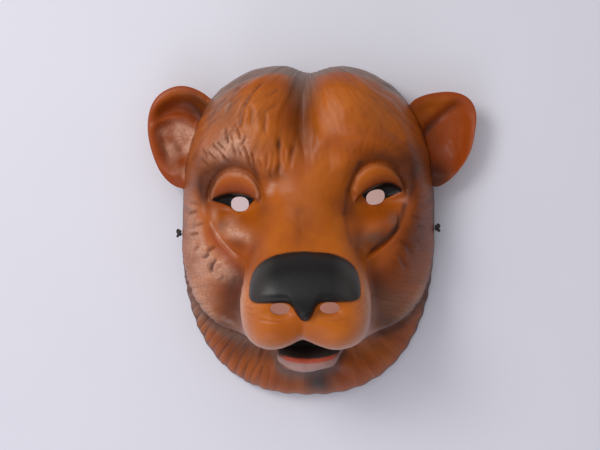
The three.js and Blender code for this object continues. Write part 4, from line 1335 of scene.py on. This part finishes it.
def painted_vinyl(paints):
    """Soft PVC, slush moulded, with brushed and airbrushed vinyl paint: a satin skin with brown paint and
    painted shade in its hollows, settled pigment and painted shade in the grooves, pale pink paint and
    painted sheen on the lit side, the raised edges and the rims, fine fur lines, and dull black on the nose,
    eyes and mouth, with painted sheen on the nose's ends."""
    material, tree, shader = new_material("painted_soft_vinyl")
    place = place_of(tree)
    lay = add_node(tree, "ShaderNodeMapping", {"vector_type": "POINT"},
                   {"Vector": mark(tree, "fur_lay", "Vector"), "Scale": STRANDS["stretch"]}).outputs["Vector"]
    strands = patches(tree, lay, STRANDS["size"], STRANDS["detail"])
    cloud, speck, grain = (patches(tree, place, *sizes) for sizes in SKIN_PATCHES.values())

    def scaled(value, gain, offset=0.0):
        return sum_of(tree, "MULTIPLY_ADD", value, gain, offset)

    def marked(name, value):
        return sum_of(tree, "MULTIPLY", mark(tree, name), value)

    edges = {}
    for name, softness in EDGE_SOFTNESS.items():
        waver = sum_of(tree, "MULTIPLY_ADD", speck, *EDGE_WAVER, clamp=False)
        inside = sum_of(tree, "ADD", mark(tree, name), waver, clamp=False)
        edges[name] = add_node(tree, "ShaderNodeMapRange", {"interpolation_type": "SMOOTHSTEP"}, {
            "Value": inside, "From Min": -softness, "From Max": softness}).outputs["Result"]
    eyes_and_mouth = sum_of(tree, "MAXIMUM", edges["eye_edge"], edges["mouth_edge"], clamp=False)
    black = sum_of(tree, "MAXIMUM", edges["nose_edge"], eyes_and_mouth, clamp=False)
    # Soot grey over the black on the nose's ends is painted sheen.
    nose_end_sheen = sum_of(tree, "MULTIPLY", edges["nose_edge"], mark(tree, "soot_and_sheen"))

    # Coats of paint, one over the other, and the share that each covers. Umber over the shade and settled
    # marks is partly painted shade, blush and pink are partly painted sheen, and soot over the nose's ends is
    # painted sheen.
    coats = (
        ("honey", scaled(mark(tree, "honey"), 0.85)),
        ("russet", scaled(mark(tree, "russet"), 0.8)),
        ("russet", scaled(cloud, 1.6, -0.6)),
        ("blush_and_sheen", marked("blush_and_sheen", scaled(speck, 1.4, 0.1))),
        ("umber", marked("shade", scaled(cloud, 0.6, 0.55))),
        ("umber", scaled(marked("furry", scaled(strands, 2.4, -1.05)), 0.5)),
        ("umber", scaled(mark(tree, "settled_and_shade"), 0.85)),
        ("taupe", scaled(mark(tree, "taupe"), 0.9)),
        ("umber", scaled(marked("taupe", scaled(strands, 3.2, -1.2)), 0.85)),
        ("soot_and_sheen", mark(tree, "soot_and_sheen")),
        ("pink", scaled(mark(tree, "lip_pink_and_rim_sheen"), 0.8)),
        ("red", scaled(mark(tree, "lip_red"), 0.9)),
        ("black", black),
        ("soot_and_sheen", sum_of(tree, "MAXIMUM", edges["mouth_edge"], nose_end_sheen, clamp=False)),
    )
    colour = paints.tan
    for name, share in coats:
        colour = over(tree, colour, getattr(paints, name), share)
    tree.links.new(colour, shader.inputs["Base Color"])

    low, high = SKIN["roughness"]
    rough = add_node(tree, "ShaderNodeMapRange", inputs={
        "Value": speck, "To Min": low, "To Max": high}).outputs["Result"]
    for name in ("mouth_edge", "nose_edge"):
        rough = sum_of(tree, "MULTIPLY_ADD", edges[name], SKIN[name], rough)
    tree.links.new(rough, shader.inputs["Roughness"])
    shader.inputs["IOR"].default_value = VINYL_IOR
    shader.inputs["Specular IOR Level"].default_value = SKIN["specular"]
    height = sum_of(tree, "MULTIPLY_ADD", marked("furry", strands), SKIN_BUMP["strands"], 0.0, clamp=False)
    height = sum_of(tree, "MULTIPLY_ADD", grain, SKIN_BUMP["grain"], height, clamp=False)
    add_bump(tree, shader, height, SKIN_BUMP["strength"], SKIN_BUMP["depth"])
    return material


def mottled(name, colour, gains, millimetres, detail, roughness, distortion=0.0, bump=None):
    """Plain material between two tones of a colour, mixed by a noise, which may also raise its surface."""
    material, tree, shader = new_material(name)
    cloud = patches(tree, place_of(tree), millimetres, detail, distortion)
    low, high = ([min(c * gain, 1.0) for c in colour[:3]] + [1.0] for gain in gains)
    tree.links.new(over(tree, low, high, cloud), shader.inputs["Base Color"])
    shader.inputs["Roughness"].default_value = roughness
    if bump:
        add_bump(tree, shader, cloud, *bump)
    return material, shader


def bare_vinyl(paints):
    """Unpainted soft PVC on the inside and the cut edges: dull, with faint flow marks of the moulding."""
    material, shader = mottled("bare_soft_vinyl", paints.bare, gains=(0.78, 1.0), millimetres=14.0,
                               detail=4.0, roughness=0.6, distortion=1.2, bump=(0.3, 0.4))
    shader.inputs["IOR"].default_value = VINYL_IOR
    return material


def braided_elastic(paints):
    """Polyester braid over rubber: matt, with a herringbone of fine yarns that catches a little light."""
    material, shader = mottled("braided_elastic", paints.elastic, gains=(1.0, 2.2), millimetres=0.5,
                               detail=2.0, roughness=0.75, bump=(0.5, 0.15))
    shader.inputs["Sheen Weight"].default_value = 0.3
    return material


def studio_paper(paints):
    """Pale matt paper for the floor, with the faintest mottling."""
    material, _ = mottled("studio_paper", paints.floor, gains=(0.97, 1.0), millimetres=60.0, detail=3.0,
                          roughness=0.9)
    return material


# Elastic and knots

# Half of the elastic's route, from a side hole to the middle, laid on the floor inside the mask
CORD_ROUTE = (
    (79.1, 1.6, 10.0),
    (75.0, 1.5, 10.0),
    (71.0, 0.6, 9.2),
    (67.0, -1.5, 6.8),
    (63.0, -5.0, 3.8),
    (59.5, -9.5, 1.9),
    (56.5, -15.0, 1.3),
    (53.0, -23.0, 1.3),
    (48.5, -32.0, 1.3),
    (43.0, -41.0, 1.3),
    (36.0, -50.0, 1.3),
    (27.5, -58.0, 1.3),
    (18.0, -64.0, 1.3),
    (9.0, -67.2, 1.3),
)
CORD_MIDDLE = (0.0, -68.2, 1.3)
CORD_MESH = {"steps": 420, "sides": 14}
SIDE_HOLE = {"x": 79.3, "y": 1.6, "z": 10.0, "length": 20.0, "sides": 28}

# The braid: its yarns each way, how far they wind in radii, how high they stand, how the ends close, and a
# direction that the path never takes, from which its sides are worked out
BRAID = {"yarns": 4.0, "pitch": 4.0, "ridge": 0.06, "ends": (-0.4, 0.8), "guide": (0.31, 0.22, 0.92)}

# The knot: radius of its turns and how they swell, sideways rise, turns, gap to the shell, half length, and
# the length, start and way of its tail. Its cord's radius is a share of the elastic's diameter.
KNOT = {"radius": 1.5, "mean": 0.75, "swell": 0.35, "waves": 1.5, "rise": 0.8, "turns": 1.25, "gap": 0.3,
        "half": 1.7, "tail": 3.6, "tail_from": 0.15, "tail_way": (1.0, -1.6, -0.6), "thickness": 0.46}
KNOT_MESH = {"coil": 60, "tail": 16, "thin": 3, "steps": 110, "sides": 12}


def smooth_path(points, steps):
    """Centripetal Catmull-Rom curve through points: each stretch is mixed twice between its four knots, with
    the knots spaced by the square root of the distance."""
    points = np.asarray(points, dtype=float)
    first = 2.0 * points[0] - points[1]
    last = 2.0 * points[-1] - points[-2]
    p = np.vstack([first, points, last])
    gaps = np.sqrt(np.linalg.norm(np.diff(p, axis=0), axis=1))
    knots = np.concatenate([[0.0], np.cumsum(gaps)])
    at = np.linspace(knots[1], knots[-2], steps)
    k = np.clip(np.searchsorted(knots, at, side="right") - 1, 1, len(p) - 3)
    t = at[:, None]
    k0, k1, k2, k3 = (knots[k + i][:, None] for i in (-1, 0, 1, 2))
    p0, p1, p2, p3 = (p[k + i] for i in (-1, 0, 1, 2))
    a1 = mix(p0, p1, (t - k0) / (k1 - k0))
    a2 = mix(p1, p2, (t - k1) / (k2 - k1))
    a3 = mix(p2, p3, (t - k2) / (k3 - k2))
    b1 = mix(a1, a2, (t - k0) / (k2 - k0))
    b2 = mix(a2, a3, (t - k1) / (k3 - k1))
    return mix(b1, b2, (t - k1) / (k2 - k1))


def braided_tube(name, path, radius, sides, materials):
    """Tube along a path: a circle carried on the path's side and upward directions, with the low ridges of a
    braid, which is the larger of two cosines that wind opposite ways. Its ends close to a point."""
    tangent = np.gradient(path, axis=0)
    tangent = tangent / np.linalg.norm(tangent, axis=1, keepdims=True)
    across = np.cross(tangent, BRAID["guide"])
    across = across / np.linalg.norm(across, axis=1, keepdims=True)
    up = np.cross(across, tangent)
    run = np.concatenate([[0.0], np.cumsum(np.linalg.norm(np.diff(path, axis=0), axis=1))])
    angle = np.linspace(0.0, 2.0 * pi, sides, endpoint=False)
    turn, along = np.meshgrid(angle, run)
    winding = 2.0 * pi * along / (BRAID["pitch"] * radius)
    ridge = np.maximum(np.cos(BRAID["yarns"] * turn + winding), np.cos(BRAID["yarns"] * turn - winding))
    reach = radius * mix(1.0, ridge, BRAID["ridge"])
    ends = np.minimum(run, run[-1] - run) / radius
    reach = reach * np.sqrt(ease(*BRAID["ends"], ends))[:, None]
    ring = np.cos(turn)[..., None] * across[:, None, :] + np.sin(turn)[..., None] * up[:, None, :]
    points = (path[:, None, :] + reach[..., None] * ring).reshape(-1, 3)
    count = len(path)
    index = np.arange(count * sides).reshape(count, sides)
    wrap = np.roll(index, -1, axis=1)
    quads = np.stack([index[:-1], wrap[:-1], wrap[1:], index[1:]], axis=-1).reshape(-1, 4)
    start = np.full(sides, len(points))
    caps = np.vstack([
        np.stack([wrap[0], index[0], start], axis=-1),
        np.stack([index[-1], wrap[-1], start + 1], axis=-1),
    ])
    return new_object(name, np.vstack([points, path[0], path[-1]]), quads, caps, materials)


def overhand_knot(side):
    """Path of a pulled-up overhand knot and its short tail, outside the side hole: a trefoil's winding, with
    its turns drawn close, that starts at the hole and ends hanging down."""
    turn = 2.0 * pi * KNOT["turns"] * np.linspace(0.0, 1.0, KNOT_MESH["coil"])
    wave = KNOT["waves"] * turn
    radius = KNOT["radius"] * (KNOT["mean"] + KNOT["swell"] * np.cos(wave))
    x = SIDE_HOLE["x"] + KNOT["gap"] + KNOT["half"] + KNOT["rise"] * np.sin(wave)
    y = SIDE_HOLE["y"] + radius * np.cos(turn)
    z = SIDE_HOLE["z"] + radius * np.sin(turn)
    coil = np.stack([x, y, z], axis=-1)
    way = np.array(KNOT["tail_way"]) / np.linalg.norm(KNOT["tail_way"])
    steps = np.linspace(KNOT["tail_from"], 1.0, KNOT_MESH["tail"])[:, None]
    route = np.vstack([coil, coil[-1] + KNOT["tail"] * steps * way])
    return smooth_path(route[::KNOT_MESH["thin"]], KNOT_MESH["steps"]) * (side, 1.0, 1.0)


# Operators

class MASK_OT_stage(bpy.types.Operator):
    """Make the camera, the floor and the lights"""
    bl_idname = "mask.stage"
    bl_label = "Stage"

    def execute(self, context):
        make_camera(context.scene)
        make_floor(context.scene)
        make_lights(context.scene)
        return {"FINISHED"}


class MASK_OT_elastic(bpy.types.Operator):
    """Make the elastic cord and its two stopper knots"""
    bl_idname = "mask.elastic"
    bl_label = "Elastic and knots"

    def execute(self, context):
        sizes = millimetres(context.scene.mask_sizes)
        material = braided_elastic(context.scene.mask_paints)
        half = np.array(CORD_ROUTE)
        route = np.vstack([half * (-1.0, 1.0, 1.0), CORD_MIDDLE, half[::-1]])
        path = smooth_path(route, CORD_MESH["steps"])
        diameter = sizes["cord_diameter"]
        cord = braided_tube("elastic_cord_braid", path, diameter / 2.0, CORD_MESH["sides"], [material])
        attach(cord, BODY)
        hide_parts("elastic_cord")
        for side, node in ((-1.0, "knot_left"), (1.0, "knot_right")):
            knot = braided_tube(f"{node}_turns", overhand_knot(side), KNOT["thickness"] * diameter,
                                KNOT_MESH["sides"], [material])
            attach(knot, BODY)
            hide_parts(node)
        return {"FINISHED"}


# Cutters of the openings: how square they are, their slant on the left and on the right, and their sides.
# Then the levels between which they cut, how the ears' seam is softened, and where an edge counts as sharp.
EYE_CUT = {"squareness": 2.3, "slants": (-0.3, 1.0), "sides": 72}
NOSTRIL_CUT = {"squareness": 2.0, "slant": 0.0, "sides": 56}
CUT_LEVELS = (1.0, 140.0)
SEAM = {"rings": 4, "rounds": 12}
SHARP_DEGREES = 52.0


class MASK_OT_shell(bpy.types.Operator):
    """Make the moulded and painted shell with its ears and openings"""
    bl_idname = "mask.shell"
    bl_label = "Face shell"

    def execute(self, context):
        size = millimetres(context.scene.mask_sizes)
        paint = painted_vinyl(context.scene.mask_paints)
        bare = bare_vinyl(context.scene.mask_paints)
        shell = face_solid(size, [paint])
        ears = [ear_solid(ear, [paint]) for ear in EARS.values()]
        for part in (shell, *ears):
            own = part.data.attributes.new("own", "FLOAT", "POINT")
            own.data.foreach_set("value", np.ones(len(part.data.vertices), dtype=np.float32))
        cut_or_join(shell, ears, "UNION")
        soften_seam(shell.data, **SEAM)
        tools = [hollow_solid(size, [bare])]
        for side, name, slant in zip((-1.0, 1.0), ("left", "right"), EYE_CUT["slants"]):
            shift_x, shift_y = EYE_SHIFT[name]
            tools.append(prism(
                "eye_cut", side * (size["eye_x"] + shift_x), size["eye_y"] + shift_y, size["eye_half_width"],
                size["eye_half_height"], EYE_CUT["squareness"], slant, *CUT_LEVELS, EYE_CUT["sides"], [bare]))
            tools.append(prism(
                "nostril_cut", side * size["nostril_x"], size["nostril_y"], size["nostril_half_width"],
                size["nostril_half_height"], NOSTRIL_CUT["squareness"], NOSTRIL_CUT["slant"], *CUT_LEVELS,
                NOSTRIL_CUT["sides"], [bare]))
            tools.append(side_hole_cut(size, side, [bare]))
        cut_or_join(shell, tools, "DIFFERENCE")
        shell.name = "face_shell_painted"
        shell.data.set_sharp_from_angle(angle=radians(SHARP_DEGREES))
        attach(shell, BODY)
        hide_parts("face_shell")
        return {"FINISHED"}


def side_hole_cut(size, side, materials):
    """Round cutter along X for the elastic's side hole."""
    radius = size["cord_hole"] / 2.0
    half = SIDE_HOLE["length"] / 2.0
    cutter = prism("side_hole_cut", 0.0, 0.0, radius, radius, 2.0, 0.0, -half, half, SIDE_HOLE["sides"],
                   materials)
    turn = Matrix.Rotation(pi / 2.0, 4, "Y")
    middle = Matrix.Translation(Vector((side * SIDE_HOLE["x"], SIDE_HOLE["y"], SIDE_HOLE["z"])) * MM)
    cutter.data.transform(middle @ turn)
    return cutter


# Stage

# The camera's aim, distance, turns in degrees and focal length in pixels, and the floor's half width
CAMERA = {"aim": (-4.4, 4.7, 20.0), "distance": 610.0, "yaw": 2.0, "roll": 1.2, "focal_pixels": 985.0}
IMAGE_WIDTH = 600.0
SENSOR_WIDTH = 36.0
CLIP_START = 10.0
FLOOR_HALF = 3000.0


def make_camera(scene):
    """Camera over the face, turned a little to the right and rolled a little, as the photograph was taken."""
    data = bpy.data.cameras.new("photo_camera")
    data.sensor_width = SENSOR_WIDTH
    data.lens = CAMERA["focal_pixels"] / IMAGE_WIDTH * SENSOR_WIDTH
    data.clip_start = CLIP_START * MM
    camera = bpy.data.objects.new("photo_camera", data)
    scene.collection.objects.link(camera)
    yaw = radians(CAMERA["yaw"])
    back = Vector((sin(yaw), 0.0, cos(yaw)))
    right = Vector((0.0, 1.0, 0.0)).cross(back).normalized()
    turn = Matrix((right, back.cross(right), back)).transposed()
    turn = turn @ Matrix.Rotation(-radians(CAMERA["roll"]), 3, "Z")
    place = Vector(CAMERA["aim"]) * MM + back * CAMERA["distance"] * MM
    camera.matrix_world = Matrix.Translation(place) @ turn.to_4x4()
    scene.camera = camera


def make_floor(scene):
    """Pale floor that the mask lies on."""
    corners = FLOOR_HALF * np.array([(-1.0, -1.0, 0.0), (1.0, -1.0, 0.0), (1.0, 1.0, 0.0), (-1.0, 1.0, 0.0)])
    paper = studio_paper(scene.mask_paints)
    floor = new_object("studio_floor", corners, np.array([[0, 1, 2, 3]]), None, [paper])


# Lamps: name, place, aim, size, watts, colour
LAMPS = (
    ("window", (-420.0, 340.0, 700.0), (0.0, 0.0, 40.0), 330.0, 3.0, "#FFFDFB"),
    ("low fill", (-200.0, -600.0, 420.0), (0.0, -30.0, 40.0), 400.0, 1.0, "#EEF0FF"),
)

# The air's light: its colour and strength, the way to its bright side, and from where to where its shares
# run, with their two values
AIR = {"colour": "#F2F2F7", "strength": 0.86, "left_way": (-0.82, 0.57, 0.0), "ring": (0.4, 0.66, 0.3, 1.0),
       "middle": (0.86, 0.98, 1.0, 0.45), "left": (-0.7, 0.7, 0.6, 1.4)}

# Faint lamps inside the mask, facing the floor: name, place, width, height, watts, colour
INSIDE_LAMPS = (
    ("behind the left eye", (-43.0, 19.0, 26.0), 50.0, 50.0, 0.0105, "#FFECE8"),
    ("behind the right eye", (43.0, 21.0, 26.0), 50.0, 50.0, 0.0078, "#FFDCCD"),
    ("behind the nostrils", (-3.0, -48.0, 26.0), 70.0, 40.0, 0.007, "#FFB193"),
)


def add_lamp(scene, name, place, aim, size, watts, colour):
    """Square soft light aimed at a point."""
    data = bpy.data.lights.new(name, "AREA")
    data.size = size * MM
    data.energy = watts
    data.color = linear(colour)[:3]
    lamp = bpy.data.objects.new(name, data)
    lamp.location = Vector(place) * MM
    lamp.rotation_euler = (Vector(aim) - Vector(place)).to_track_quat("-Z", "Y").to_euler()
    lamp.visible_camera = False
    scene.collection.objects.link(lamp)
    return lamp


def make_lights(scene):
    """A large soft window on the left, a weak fill from below, and faint lights inside the mask, so that the
    floor shows pale through the eye holes as it does when the mask stands off a wall."""
    for lamp in LAMPS:
        add_lamp(scene, *lamp)
    for name, place, width, height, watts, colour in INSIDE_LAMPS:
        inside = add_lamp(scene, name, place, (*place[:2], 0.0), width, watts, colour)
        inside.data.shape = "RECTANGLE"
        inside.data.size_y = height * MM
    world = bpy.data.worlds.new("studio_air")
    scene.world = world
    world.use_nodes = True
    tree = world.node_tree
    tree.nodes.clear()
    direction = add_node(tree, "ShaderNodeTexCoord").outputs["Generated"]
    height = add_node(tree, "ShaderNodeSeparateXYZ", inputs={"Vector": direction}).outputs["Z"]
    # Light falls in from a broad ring over the stage, most of it on the left. The ring's middle, over the
    # face, is dimmer, so that what faces up keeps its full colour.
    leftward = add_node(tree, "ShaderNodeVectorMath", {"operation": "DOT_PRODUCT"},
                        {0: direction, 1: AIR["left_way"]}).outputs["Value"]
    glow = AIR["strength"]
    for value, start, end, low, high in (
            (height, *AIR["ring"]), (height, *AIR["middle"]), (leftward, *AIR["left"])):
        share = add_node(tree, "ShaderNodeMapRange", {"interpolation_type": "SMOOTHSTEP"}, {
            "Value": value, "From Min": start, "From Max": end,
            "To Min": low, "To Max": high}).outputs["Result"]
        glow = sum_of(tree, "MULTIPLY", share, glow, clamp=False)
    air = add_node(tree, "ShaderNodeBackground", inputs={"Color": linear(AIR["colour"]), "Strength": glow})
    add_node(tree, "ShaderNodeOutputWorld", inputs={"Surface": air.outputs["Background"]})
    scene.view_settings.view_transform = "Standard"


class MASK_PT_panel(bpy.types.Panel):
    """Lists the mask's operators and its sizes and colours"""
    bl_idname = "MASK_PT_panel"
    bl_label = "Bear Mask"
    bl_space_type = "VIEW_3D"
    bl_region_type = "UI"
    bl_category = "Bear Mask"

    def draw(self, context):
        for operator in (MASK_OT_stage, MASK_OT_elastic, MASK_OT_shell):
            self.layout.operator(operator.bl_idname)
        for group in (context.scene.mask_sizes, context.scene.mask_paints):
            for name in type(group).__annotations__:
                self.layout.prop(group, name)


CLASSES = (MaskSizes, MaskPaints, MASK_OT_stage, MASK_OT_elastic, MASK_OT_shell, MASK_PT_panel)


def register():
    for entry in CLASSES:
        bpy.utils.register_class(entry)
    bpy.types.Scene.mask_sizes = bpy.props.PointerProperty(type=MaskSizes)
    bpy.types.Scene.mask_paints = bpy.props.PointerProperty(type=MaskPaints)


def unregister():
    del bpy.types.Scene.mask_paints
    del bpy.types.Scene.mask_sizes
    for entry in reversed(CLASSES):
        bpy.utils.unregister_class(entry)


def main():
    register()
    bpy.ops.mask.stage()
    bpy.ops.mask.elastic()
    bpy.ops.mask.shell()


if __name__ == "__main__":
    main()
